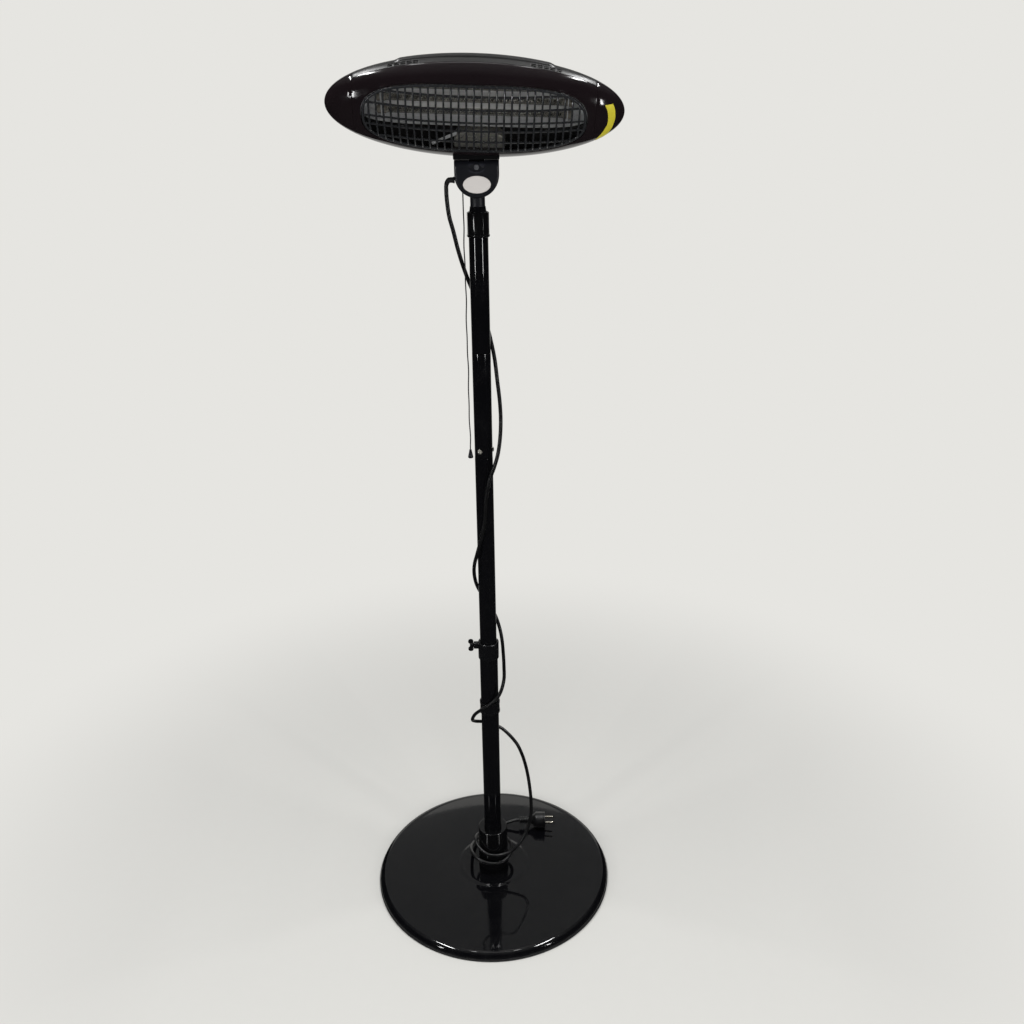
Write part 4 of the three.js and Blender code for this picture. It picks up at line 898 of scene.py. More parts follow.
class HEATER_OT_stage(bpy.types.Operator):
    """Makes the camera, the soft lights, the pale floor and the backdrop"""

    bl_idname = "heater.stage"
    bl_label = "Stage"
    bl_options = {"REGISTER", "UNDO"}

    def execute(self, context):
        scene = context.scene
        camera = bpy.data.objects.new("camera", bpy.data.cameras.new("camera"))
        camera.data.lens, camera.data.sensor_width = CAMERA_LENS, 36.0
        camera.data.clip_start, camera.data.clip_end = 0.05, 60.0
        forward = Vector((0, math.cos(CAMERA_PITCH), -math.sin(CAMERA_PITCH)))
        up = Vector((0, math.sin(CAMERA_PITCH), math.cos(CAMERA_PITCH)))
        right = Vector((1, 0, 0))
        side = right * math.cos(CAMERA_ROLL) + up * math.sin(CAMERA_ROLL)
        top = -right * math.sin(CAMERA_ROLL) + up * math.cos(CAMERA_ROLL)
        matrix = Matrix((side, top, -forward)).transposed().to_4x4()
        matrix.translation = CAMERA_PLACE
        camera.matrix_world = matrix
        scene.collection.objects.link(camera)
        scene.camera = camera

        half = FLOOR_HALF
        corners = [(-half, -half, 0), (half, -half, 0), (half, half, 0), (-half, half, 0)]
        floor = raw_object("studio_floor", (corners, [(0, 1, 2, 3)]))
        floor.data.materials.append(material("floor"))
        meet_backdrop(material("floor").node_tree)

        world = bpy.data.worlds.new("studio")
        scene.world = world
        world.use_nodes = True
        tree = world.node_tree
        mixed = add(tree, "Mix", {0: seen_rays(tree), 6: SKY, 7: BACKDROP}, data_type="RGBA")
        tree.links.new(mixed.outputs[2], tree.nodes["Background"].inputs["Color"])

        for name, place, aim, width, height, watts in LAMPS:
            light = bpy.data.lights.new(name, "AREA")
            light.shape, light.size, light.size_y, light.energy = "RECTANGLE", width, height, watts
            lamp = bpy.data.objects.new(name, light)
            lamp.location = place
            lamp.rotation_euler = (Vector(aim) - Vector(place)).to_track_quat("-Z", "Y").to_euler()
            lamp.visible_glossy = name != "front_fill"      # it lifts the front and leaves no reflection
            scene.collection.objects.link(lamp)

        front_angles = [7.5 * turn - 150 for turn in range(41)]
        tent = dome_patch(TENT_RADIUS, [7.5 * step for step in range(13)], front_angles, -1)
        cloth = dome_patch(CLOTH_RADIUS, range(28, 69, 4), range(-32, 33, 4), 1)
        for name, shape in (("dark_tent", tent), ("pale_cloth", cloth), ("floor_card", floor_ring())):
            flag = raw_object(name, shape)
            flag.data.materials.append(material(name))
            flag.visible_camera = flag.visible_diffuse = flag.visible_shadow = False
            flag.visible_transmission = flag.visible_volume_scatter = False

        scene.view_settings.view_transform = "Standard"
        return {"FINISHED"}


# the lead's bending sleeve: its flange in the housing as (place, radius), then a ribbed taper
SLEEVE_FLANGE = ((-36.7, 4.9), (-37.0, 5.2), (-39.0, 5.2), (-39.3, 4.9), (-39.5, 4.5), (-41.0, 4.5),
                 (-42.2, 4.4))
SLEEVE_REACH = 11.0                   # along the lead
SLEEVE_ROOT = 4.4
SLEEVE_TAPER = 0.5
SLEEVE_RIB = 0.12
PLUG_BOOT = 20                        # lengths along the plug
PLUG_NECK = 34
PLUG_FACE = 25
PIN_OFFSET = 9.5


class HEATER_OT_lead(bpy.types.Operator):
    """Makes the mains lead, its bending sleeve at the housing, and its plug"""

    bl_idname = "heater.lead"
    bl_label = "Mains lead and plug"
    bl_options = {"REGISTER", "UNDO"}

    def execute(self, context):
        path = smooth_path(LEAD_ROUTE, 14)
        lead = piece("mains_lead_sheath", swept(path, LEAD_RADIUS, 16), "sheath", None, ["mains_lead"])
        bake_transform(lead)

        relief_path = [Vector((x, 0, GLAND_HEIGHT)) for x, _ in SLEEVE_FLANGE]
        radii = [radius for _, radius in SLEEVE_FLANGE]
        travelled = 0.0
        for before, here in zip(path, path[1:]):
            travelled += (here - before).length
            share = travelled / SLEEVE_REACH
            if share > 1:
                break
            relief_path.append(here)
            radii.append(SLEEVE_ROOT - SLEEVE_TAPER * share + SLEEVE_RIB * math.cos(share * 3 * TURN))
        relief = piece("lead_bending_sleeve", swept(relief_path, radii, 20), "rubber", "upper_pole",
                       ["lead_gland"], degrees=50)

        boot, neck = PLUG_X + PLUG_BOOT, PLUG_X + PLUG_NECK
        outline = [(0, PLUG_X), (4.6, PLUG_X, 0.6)]
        ribs = context.scene.heater_sizes.plug_ribs
        for rib in range(ribs):
            start = PLUG_X + 0.6 + rib * 19.0 / ribs
            radius = 7.4 + (rib + 1) / ribs
            outline += [(radius, start, 0.4), (radius, start + 10.0 / ribs, 0.4),
                        (5.2, start + 10.6 / ribs, 0.2), (5.2, start + 18.2 / ribs, 0.2)]
        outline += [(5.6, boot, 0.5), (7.2, boot + 4, 1), (10.5, neck - 5, 3), (14.2, neck, 2),
                    (17.6, neck + 3, 1.5), (18, neck + 6, 1), (18, neck + 19, 0.3), (17.4, neck + 19.6, 0.2),
                    (17.4, neck + 20.4, 0.2), (18, neck + 21, 0.3), (18, neck + PLUG_FACE, 1.2),
                    (0, neck + PLUG_FACE)]
        body = shifted(turned_x(rounded(outline, 0.4, 3), 64), y=PLUG_Y, z=PLUG_Z)
        plug = piece("plug_moulding", body, "sheath", "base", ["plug_body"], degrees=45)
        face = neck + PLUG_FACE + GAP
        for number, side in ((1, -1), (2, 1)):
            shape = turned_x([(0, face), (2.4, face), (2.4, face + 12), (2.4, face + 16.8),
                              (2.1, face + 18), (1.3, face + 18.8), (0, face + 19)], 32)
            shape = shifted(shape, y=PLUG_Y + side * PIN_OFFSET, z=PLUG_Z)
            piece(f"plug_pin_{number}_bright", shape, "nickel", "base",
                              [f"plug_pin_{number}"])

        return {"FINISHED"}


CORD_END = 991.0
CORD_RADII = (1.1, 1.0)               # at every other point, for the braid's bumps
KNOB_OUTLINE = [
    (0, 990.7), (2.0, 990.7, 0.5), (2.5, 987.7, 1), (3.6, 982, 3), (4.6, 977.5, 1.5), (4.75, 976.2, 0.5),
    (4.3, 974.7, 0.6), (2.6, 974.7, 0.4), (2.2, 976.4, 0.4), (0, 976.4),
]


class HEATER_OT_pull_cord(bpy.types.Operator):
    """Makes the pull cord and its knob"""

    bl_idname = "heater.pull_cord"
    bl_label = "Pull cord"
    bl_options = {"REGISTER", "UNDO"}

    def execute(self, context):
        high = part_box("pull_cord")[1][2] / MM
        steps = 230
        path = []
        for i in range(steps + 1):
            share = i / steps
            # two small sways down its length, with both ends still
            loose = smooth_step((share - 0.06) / 0.1) * smooth_step((1 - share) / 0.05)
            sway = 0.45 * math.sin(share * 21) + 0.35 * math.sin(share * 47 + 1.0)
            path.append(Vector((CORD_X + sway * loose, 0.5 * loose * math.sin(share * 33),
                                high + (CORD_END - high) * share)))
        radii = [CORD_RADII[i % 2] for i in range(steps + 1)]
        cord = piece("pull_cord_braid", swept(path, radii, 10), "braid", "pull",
                     ["pull_cord"], degrees=60)
        knob = piece("pull_knob_bell", shifted(turned(rounded(KNOB_OUTLINE, 0.5), 48), x=CORD_X),
                     "satin_nylon", "pull", ["pull_knob"])
        repaint("switch", "switch_plunger", "pull_switch")
        return {"FINISHED"}


# ------------------------------------------------------------------ base and pole

def dome_height(radius):
    start = PLATE_TOP - BOSS_STEP
    share = (radius - BOSS_RADIUS) / (SHOULDER_RADIUS - BOSS_RADIUS)
    return start - (start - SHOULDER_HEIGHT) * share * share


class HEATER_OT_base(bpy.types.Operator):
    """Makes the pressed base plate, its rubber strip, the cast weight and the foot collar"""

    bl_idname = "heater.base"
    bl_label = "Base"
    bl_options = {"REGISTER", "UNDO"}

    def execute(self, context):
        upper = [(BOLT_HOLE, PLATE_TOP), (BOSS_RADIUS - BOSS_FOOT - 1, PLATE_TOP)]
        for i in range(13):
            share = i / 12
            radius = BOSS_RADIUS - BOSS_FOOT + (BOSS_FOOT + BOSS_SPREAD) * share
            fall = PLATE_TOP - dome_height(max(radius, BOSS_RADIUS))
            upper.append((radius, PLATE_TOP - fall * smooth_step(share)))
        for i in range(1, 25):
            radius = BOSS_RADIUS + BOSS_SPREAD
            radius += (SHOULDER_RADIUS - radius) * i / 24
            upper.append((radius, dome_height(radius)))
        for i in range(1, 17):
            angle = math.pi / 2 * (1 - i / 16)
            upper.append((SHOULDER_RADIUS + (SKIRT_RADIUS - SHOULDER_RADIUS) * math.cos(angle),
                          RUBBER_HEIGHT + (SHOULDER_HEIGHT - RUBBER_HEIGHT) * math.sin(angle)))
        upper.append((SKIRT_RADIUS, GROOVE_FLOOR + GAP))
        lower = []
        for i, (radius, height) in enumerate(upper):
            ahead, behind = upper[min(i + 1, len(upper) - 1)], upper[max(i - 1, 0)]
            run = Vector((ahead[0] - behind[0], ahead[1] - behind[1])).normalized()
            lower.append((radius + run.y * PLATE_SHEET, height - run.x * PLATE_SHEET))
        lower[0] = (BOLT_HOLE, PLATE_TOP - PLATE_SHEET)
        piece("base_plate_pressed", turned(upper + lower[::-1], 240), "enamel", "base",
              ["base_plate"], degrees=50)

        outer, inner = BASE_RADIUS, BASE_RADIUS - RUBBER_WIDTH
        groove = (SKIRT_RADIUS + GAP, SKIRT_RADIUS - PLATE_SHEET - GAP)
        strip = [(inner, 0, 0.8), (outer, 0, 1.0), (outer, 2.2, 0.3), (outer - 0.3, 2.6, 0.2),
                 (outer, 3.0, 0.3), (outer, RUBBER_HEIGHT, 0.35), (groove[0], RUBBER_HEIGHT, 0.2),
                 (groove[0], GROOVE_FLOOR, 0.2), (groove[1], GROOVE_FLOOR, 0.2),
                 (groove[1], RUBBER_HEIGHT, 0.4), (inner, RUBBER_HEIGHT, 0.6)]
        piece("base_rubber_strip", turned(rounded(strip, 0.5, 3), 240), "rubber", "base",
              ["base_rubber_ring"])

        low, high = (corner[2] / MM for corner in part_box("base_weight"))
        top = low + WEIGHT_DISC
        groove_floor = top - 1.5
        outline = [(16, low, 1), (WEIGHT_RADIUS - 4, low, 2), (WEIGHT_RADIUS, low + 4, 2),
                   (WEIGHT_RADIUS, top, 2), (150, top, 1), (148, groove_floor, 1), (90, groove_floor, 1),
                   (88, top, 1), (60, top, 3), (60, high, 2), (BOLT_HOLE, high, 0.4), (BOLT_HOLE, 11.7, 0.4),
                   (16, 11.7, 1)]
        piece("base_cast_weight", turned(rounded(outline, 1, 3), 96), "casting", "base",
              ["base_weight"])
        repaint("zinc", "base_washer", "base_bolt", "tube_foot_plug")

        outline = [(LOWER_TUBE + GAP, COLLAR_TOP, 0.5), (COLLAR_TOP_RADIUS, COLLAR_TOP, 1.3),
                   (COLLAR_TOP_RADIUS + 0.9, 60, 0), (COLLAR_FOOT_RADIUS, PLATE_TOP + GAP, 0.5),
                   (COLLAR_FOOT_RADIUS - 3, PLATE_TOP + GAP, 0.5), (COLLAR_TOP_RADIUS - 3, COLLAR_TOP - 6, 2),
                   (LOWER_TUBE + GAP, COLLAR_TOP - 6, 0.5)]
        piece("foot_collar_cover", turned(rounded(outline, 0.5, 6), 96), "gloss_trim", "base",
              ["base_collar"])
        return {"FINISHED"}


def tube_outline(radius, low, high, soft=0.5):
    bore = radius - TUBE_WALL
    return rounded([(bore, low, 0.2), (radius, low, soft), (radius, high, soft), (bore, high, 0.2)], soft, 4)


class HEATER_OT_pole(bpy.types.Operator):
    """Makes the two telescoping tubes and their joint screws"""

    bl_idname = "heater.pole"
    bl_label = "Pole"
    bl_options = {"REGISTER", "UNDO"}

    def execute(self, context):
        piece("lower_tube_enamelled", turned(tube_outline(LOWER_TUBE, PLATE_TOP + GAP, LOWER_TUBE_TOP), 96),
              "enamel", "base", ["lower_tube"])
        seams = ((POLE_BOTTOM, LOWER_SEAM, True), (LOWER_SEAM + GAP, UPPER_SEAM, True),
                 (UPPER_SEAM + GAP, POLE_TOP, False))
        bore = UPPER_TUBE - TUBE_WALL
        for (low, high, spigot), part in zip(seams, ("bottom", "middle", "top")):
            shape = turned(tube_outline(UPPER_TUBE, low, high), 96)
            if spigot:
                outer = bore - GAP
                inner, top = outer - TUBE_WALL, high + SPIGOT_REACH
                reduced = rounded([(inner, high - 2, 0.2), (outer, high - 2, 0.2), (outer, top, 0.4),
                                   (inner, top, 0.2)], 0.3)
                shape = joined(shape, turned(reduced, 48))
            piece(f"pole_tube_{part}_enamelled", shape, "enamel", "upper_pole", [f"pole_tube_{part}"])
        for number, angle in enumerate(JOINT_SCREW_ANGLES, 1):
            place = (Matrix.Translation((0, 0, JOINT_SCREW_HEIGHT)) @ Matrix.Rotation(angle * DEGREE, 4, "Z")
                     @ Matrix.Translation((UPPER_TUBE + GAP, 0, 0)) @ Matrix.Rotation(math.pi / 2, 4, "Y"))
            piece(f"joint_screw_{number}_crosshead", moved(domed_screw(4.5, 2.2, 2.0, 5.0), place), "zinc",
                  "upper_pole", [f"joint_screw_{number}"])
        repaint("satin_nylon", "pole_end_plug")
        return {"FINISHED"}


class HEATER_OT_clamp(bpy.types.Operator):
    """Makes the stop ring, the clamp collar and its wing screw"""

    bl_idname = "heater.clamp"
    bl_label = "Clamp"
    bl_options = {"REGISTER", "UNDO"}

    def execute(self, context):
        seat = LOWER_TUBE + GAP
        low, high = RING_SPAN
        outer, waist = CLAMP_RADIUS, CLAMP_RADIUS - 0.5
        ring = [(seat, low, 0.3), (outer, low, 0.8), (outer, low + 5, 0.3), (waist, low + 5.6, 0.2),
                (waist, high - 5.6, 0.2), (outer, high - 5, 0.3), (outer, high, 0.8), (seat, high, 0.3)]
        piece("stop_ring_moulding", turned(rounded(ring, 0.5), 96), "polished_nylon", "base",
              ["stop_ring"])

        low, high = CLAMP_SPAN
        slide, step = UPPER_TUBE + GAP, LOWER_TUBE_TOP + GAP
        collar = [(seat, low, 0.3), (CLAMP_RADIUS, low, 1.2), (CLAMP_RADIUS, high, 1.6), (slide, high, 0.3),
                  (slide, step, 0.2), (seat, step, 0.2)]
        clamp = raw_object("clamp_collar_moulding", turned(rounded(collar, 0.5), 96))
        boss = rounded([(0, -29), (7.5, -29, 1.0), (7.5, -21.5, 0), (7.5, -18.9, 0), (0, -18.9)], 0.5)
        boss_tool = raw_object("clamp_boss", shifted(turned_x(boss, 48), z=WING_HEIGHT))
        settle(clamp, ("BOOLEAN", {"operation": "UNION", "solver": "EXACT", "object": boss_tool}))
        bpy.data.objects.remove(boss_tool)
        cut(clamp, shifted(turned_x([(0, -32), (3.3, -32), (3.3, -15), (0, -15)], 32), z=WING_HEIGHT))
        dress(clamp, "polished_nylon", "base", ["clamp_collar"], degrees=45)

        shaft = [(0, -16.8), (2.7, -16.8, 0.4), (3.0, -17.4, 0.2)]
        for turn in range(9):
            place = -18.0 - turn * 1.2
            shaft += [(3.0, place), (2.55, place - 0.6)]
        shaft += [(3.0, -29.3, 0.1), (5.0, -29.3, 0.6), (5.0, -32.6, 0.5), (4.7, -33.2, 0.2),
                  (4.7, -35.6, 0.4), (4.2, -36.8, 0.8), (0, -36.8)]
        parts = [shifted(turned_x(rounded(shaft, 0.3, 3)[::-1], 40), z=WING_HEIGHT)]
        for side in (-1, 1):
            lobe = superellipse(LOBE_HALF, 5.25, 2.3, 40)
            rows = []
            for depth, inset in LOBE_SECTION:
                grow = 1 - inset / LOBE_HALF
                rows.append([(LOBE_PLACE[0] + x * grow, depth, WING_HEIGHT + side * LOBE_PLACE[1] + z * grow)
                             for x, z in lobe])
            parts.append(capped(rows))
        piece("wing_screw_moulding", joined(*parts), "polished_nylon", "wing_screw", ["wing_screw"],
              degrees=40)
        return {"FINISHED"}


# ------------------------------------------------------------------ top fitting and neck

class HEATER_OT_top_fitting(bpy.types.Operator):
    """Makes the faceted sleeve, the lock cone and the neck's stub"""

    bl_idname = "heater.top_fitting"
    bl_label = "Top fitting"
    bl_options = {"REGISTER", "UNDO"}

    def execute(self, context):
        low, high = SLEEVE_SPAN
        angles = [TURN * i / SLEEVE_FACETS for i in range(SLEEVE_FACETS)]
        facets = rounded([(SLEEVE_RADIUS * math.cos(a), SLEEVE_RADIUS * math.sin(a)) for a in angles], 4.0, 5)
        lip, bore = ([(x * radius / math.hypot(x, y), y * radius / math.hypot(x, y)) for x, y in facets]
                     for radius in (LIP_RADIUS, SLEEVE_BORE))

        def ring(outline, height, inset=0.0):
            grow = 1 - inset / SLEEVE_RADIUS
            return [(x * grow, y * grow, height) for x, y in outline]

        rows = [ring(bore, low, -0.1)]
        rows += [ring(lip, low + rise, inset) for rise, inset in LIP_SECTION]
        rows += [ring(facets, low + 4.2), ring(facets, high - 1.2), ring(facets, high - 0.4, 0.25),
                 ring(facets, high, 0.9), ring(bore, high, -0.1)]
        piece("pole_sleeve_faceted", skin(rows + rows[:1], around=True), "gloss_trim", "upper_pole",
              ["pole_sleeve"], degrees=30)

        start = high + GAP
        cone = [(CONE_BORE, start, 0.2), (16.2, start, 0.5), (14.2, start + 1.5, 0.6),
                (13.25, start + CONE_HEIGHT, 0.4), (CONE_BORE, start + CONE_HEIGHT, 0.2)]
        piece("lock_cone_enamelled", turned(rounded(cone, 0.4), 72), "enamel", "upper_pole",
              ["lock_cone"])
        outer = UPPER_TUBE - TUBE_WALL - GAP
        foot = POLE_TOP - 29
        stub = [(STUB_BORE, foot, 0.3), (outer, foot, 0.6), (outer, POLE_TOP, 0.3),
                (STUB_RADIUS, POLE_TOP + 1, 0.3), (STUB_RADIUS, STUB_TOP, 0.5), (STUB_BORE, STUB_TOP, 0.3)]
        piece("neck_stub_tube", turned(rounded(stub, 0.4), 72), "satin_nylon", "upper_pole",
              ["neck_stub"])
        return {"FINISHED"}


def neck_depth(x, z):
    """Half depth of the neck housing's outer face at a place in front view."""
    rim = math.hypot(x, z - NECK_ARC_HEIGHT) if z < NECK_ARC_HEIGHT else abs(x)
    inside = max(NECK_HALF_WIDTH - rim, 0.0)
    edge = NECK_HALF_DEPTH
    if inside < NECK_EDGE:
        edge += math.sqrt(NECK_EDGE ** 2 - (NECK_EDGE - inside) ** 2) - NECK_EDGE
    if z <= PIVOT_HEIGHT:
        return edge
    share = min((z - PIVOT_HEIGHT) / NECK_TOP_RISE, 1.0)
    return min(edge, NECK_HALF_DEPTH * (1 - share ** NECK_TOP_POWER) ** (1 / NECK_TOP_POWER))


def neck_half(side):
    """The outer skin of one half of the neck housing; side is -1 for the front and 1 for the rear."""
    reaches = [0, 3, 6, 9, 12, 15, 18, 21, 24, 27, 30, 31.5]
    reaches += [min(NECK_HALF_WIDTH - NECK_EDGE * (1 - math.sin(angle * DEGREE)), NECK_HALF_WIDTH)
                for angle in (0, 12, 25, 38, 52, 66, 79, 90)]
    crown = [PIVOT_HEIGHT + NECK_TOP_RISE * math.sin(math.pi / 2 * i / 16) for i in range(16, 0, -1)]
    upper = crown + [PIVOT_HEIGHT - (PIVOT_HEIGHT - NECK_ARC_HEIGHT) * i / 4 for i in range(5)]
    arms = [(-1, 0, z) for z in upper]
    around = [math.pi + math.pi * i / 48 for i in range(1, 48)]
    arms += [(math.cos(angle), math.sin(angle), NECK_ARC_HEIGHT) for angle in around]
    arms += [(1, 0, z) for z in reversed(upper)]
    rows = []
    for across, down, start in arms:
        row = []
        for reach in reaches:
            x, z = across * reach, start + down * reach
            row.append((x, side * max(neck_depth(x, z), GAP / 2), z))
        x, z = across * NECK_HALF_WIDTH, start + down * NECK_HALF_WIDTH
        edge = max(neck_depth(x, z), GAP / 2)
        for share in (0.75, 0.5, 0.25, 0.08, 0.0):
            row.append((x, side * (GAP / 2 + (edge - GAP / 2) * share), z))
        rows.append(row)
    return skin(rows)


class HEATER_OT_neck(bpy.types.Operator):
    """Makes the neck housing, its screw and bush, and the blank oval plate"""

    bl_idname = "heater.neck"
    bl_label = "Neck housing"
    bl_options = {"REGISTER", "UNDO"}

    def execute(self, context):
        wall = ("SOLIDIFY", {
            "thickness": NECK_WALL * MM, "offset": -1.0, "use_even_offset": True,
            "use_quality_normals": True})
        soft = ("BEVEL", {
            "width": 0.35 * MM, "segments": 2, "limit_method": "ANGLE", "angle_limit": 50 * DEGREE})
        for side, word in ((-1, "front"), (1, "rear")):
            half = raw_object(f"neck_housing_{word}_moulding", neck_half(side))
            settle(half, wall)
            cuts = [
                round_block((-12.8, -15, PIVOT_HEIGHT + 2), (12.8, 15, 1500), 1.5),
                turned([(0, 1420), (12.65, 1420), (12.65, 1450), (0, 1450)], 64),
                shifted(turned_x([(0, -45), (4.5, -45), (4.5, -30), (0, -30)], 40), z=GLAND_HEIGHT),
                shifted(turned([(0, 1425), (2.3, 1425), (2.3, 1452), (0, 1452)], 32), x=CORD_X),
            ]
            if side < 0:
                rows = []
                for sunk, grow in ((-3, 1.16), (-0.05, 1.0), (0.5, 0.955), (RECESS_DEPTH - 0.3, 0.93),
                                   (RECESS_DEPTH, 0.89)):
                    rows.append([(x * grow, sunk - NECK_HALF_DEPTH, LOCK_SCREW_HEIGHT + z * grow)
                                 for x, z in superellipse(*RECESS_HALF, 2.0, 72)])
                cuts.append(capped(rows))
            cut(half, *cuts)
            settle(half, soft)
            dress(half, "satin_nylon", "upper_pole", [f"neck_housing_{word}"], degrees=42)

        seat = -NECK_HALF_DEPTH + RECESS_DEPTH - GAP
        screw = moved(domed_screw(4.2, 2.5, 1.9, 8.0), Matrix.Rotation(math.pi / 2, 4, "X"))
        piece("tilt_lock_screw_crosshead", shifted(screw, y=seat, z=LOCK_SCREW_HEIGHT), "oxide", "upper_pole",
              ["tilt_lock_screw"])

        low, high = (corner[2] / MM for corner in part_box("pull_cord_bush"))
        bush = [(1.25, low, 0.2), (2.0, low, 0.5), (2.0, high, 0.3), (1.25, high, 0.2)]
        piece("pull_cord_bush_moulding", shifted(turned(rounded(bush, 0.3), 40), x=CORD_X), "satin_nylon",
              "upper_pole", ["pull_cord_bush"])
        repaint("zinc", "tilt_bolt", "tilt_nut")

        sizes = context.scene.heater_sizes
        half_width, half_height = sizes.badge_width / MM / 2, sizes.badge_height / MM / 2
        oval = superellipse(half_width, half_height, 2.0, 96)
        levels = [(lift, inset, 1.0) for lift, inset in BADGE_EDGE]
        edge_lift, edge_inset = BADGE_EDGE[-1]
        for step in range(1, 9):
            share = step / 9
            crown = (1 - edge_lift) * math.sin(math.pi / 2 * share)
            levels.append((edge_lift + crown, edge_inset, 1 - share))
        rows = []
        for lift, inset, grow in levels:
            depth = -NECK_HALF_DEPTH - lift * sizes.badge_thickness / MM
            rows.append([(x * (1 - inset / half_width) * grow, depth,
                          BADGE_HEIGHT + z * (1 - inset / half_height) * grow) for x, z in oval])
        piece("neck_oval_plate_blank", capped(rows), "badge", "upper_pole", degrees=30)
        return {"FINISHED"}


# ------------------------------------------------------------------ head

def on_head(x, z, grow=0.0):
    """A place on the front of the head's rounded form."""
    a, c, b = (half + grow for half in HEAD_HALF)
    return (x, -c * math.sqrt(max(1 - (x / a) ** 2 - (z / b) ** 2, 0.0)), z)


def opening_share(angle):
    """How far from the head's middle the opening's edge lies in a direction, as a share of the form."""
    low, high = 0.3, 0.99
    for _ in range(40):
        share = (low + high) / 2
        x = HEAD_HALF[0] * share * math.cos(angle)
        z = HEAD_HALF[2] * share * math.sin(angle) - OPENING_MIDDLE
        inside = abs(x / OPENING_HALF[0]) ** OPENING_POWER + abs(z / OPENING_HALF[1]) ** OPENING_POWER < 1
        low, high = (share, high) if inside else (low, share)
    return share


def front_shell_rows(count=288, steps=26):
    a, c, b = HEAD_HALF
    rows = [[] for _ in range(steps + 7)]
    end = math.acos(-(PARTING - GAP / 2) / c)
    for i in range(count):
        angle = TURN * i / count
        share = opening_share(angle)
        face = -c * math.sqrt(1 - share * share)
        start = math.asin(share)

        def point(turn, sunk=0.0):
            out = math.sin(turn)
            return (a * out * math.cos(angle), sunk - c * math.cos(turn), b * out * math.sin(angle))

        for row, depth in enumerate((DISH_LIP - GAP, (DISH_LIP + face) / 2, face + 2.0, face + 1.2)):
            rows[row].append((a * share * math.cos(angle), depth, b * share * math.sin(angle)))
        for row, (step, sunk) in enumerate(((0.0012, 0.55), (0.006, 0.18), (0.014, 0.03)), 4):
            rows[row].append(point(start + step, sunk))
        first = start + 0.024
        for step in range(steps):
            rows[7 + step].append(point(first + (end - first) * step / (steps - 1)))
    return rows


def hump_height(x, y):
    along = smooth_step((HUMP_HALF - abs(x)) / HUMP_SLOPE)
    return HUMP_RISE * along * smooth_step((y - HUMP_FRONT) / HUMP_RUN)


def slot_spans():
    spans = []
    for count in range(SLOT_COUNT):
        near = SLOT_FIRST + count * SLOT_STEP
        spans += [(near, near + SLOT_LENGTH), (-near - SLOT_LENGTH, -near)]
    return spans


def rear_shell_skin():
    """The rear shell's outer skin, with its louvre slots left open."""
    limit = CAP_SEAM - GAP / 2
    fixed = sorted({edge for span in slot_spans() for edge in span}
                   | {side * HUMP_HALF for side in (-1, 1)} | {-limit, limit})
    stations = list(fixed)
    steps = 110
    for i in range(steps + 1):
        x = -limit + 2 * limit * i / steps
        if min(abs(x - edge) for edge in fixed) > 1.6:
            stations.append(x)
    stations.sort()
    levels = [PARTING + GAP / 2, -8.2, -7.5, -6.4, -5.3, -3.9, -2.8, -1.7, HUMP_FRONT, -0.6, 0.0, 0.6, 1.2,
              1.9, 2.8, 4.0, 6.0, 9.0]
    turns = 40
    rows = []
    for x in stations:
        row = []

        def place(y, sign):
            grow = hump_height(x, y)
            a, c, b = (half + grow for half in HEAD_HALF)
            return (x, y, sign * b * math.sqrt(max(1 - (x / a) ** 2 - (y / c) ** 2, 0.0)))

        row += [place(y, 1) for y in levels]
        grow = hump_height(x, 20)
        a, c, b = (half + grow for half in HEAD_HALF)
        size = math.sqrt(1 - (x / a) ** 2)
        begin_angle = math.acos(levels[-1] / (c * size))
        for i in range(1, turns):
            angle = begin_angle * (1 - 2 * i / turns)
            row.append((x, c * size * math.cos(angle), b * size * math.sin(angle)))
        row += [place(y, -1) for y in reversed(levels)]
        rows.append(row)

    def keep(r, i):
        if i >= len(levels) - 1:
            return True
        x, y = (stations[r] + stations[r + 1]) / 2, (levels[i] + levels[i + 1]) / 2
        in_row = any(low < y < high for low, high in SLOT_ROWS)
        return not (in_row and any(low < x < high for low, high in slot_spans()))

    return skin(rows, keep=keep)


def cap_skin(side):
    a, c, b = HEAD_HALF
    start = math.asin((CAP_SEAM + GAP / 2) / a)
    rows = []
    for step in range(25):
        angle = start + (math.pi / 2 - start) * math.sin(math.pi / 2 * step / 24)
        x, size = side * a * math.sin(angle), max(math.cos(angle), 1e-9)
        rows.append([(x, c * size * math.cos(TURN * i / 128), b * size * math.sin(TURN * i / 128))
                     for i in range(128)])
    return skin(rows, around=True)


SHELL_WALL = ("SOLIDIFY", {"thickness": HEAD_WALL * MM, "offset": -1.0, "use_even_offset": True})


def outward(made, middle):
    """Turns a skin's faces away from a point, so that its thickness goes inward."""
    work = bmesh.new()
    work.from_mesh(made.data)
    total = sum(face.calc_area() * face.normal.dot(face.calc_center_median() - middle) for face in work.faces)
    if total < 0:
        bmesh.ops.reverse_faces(work, faces=work.faces)
    work.to_mesh(made.data)
    work.free()


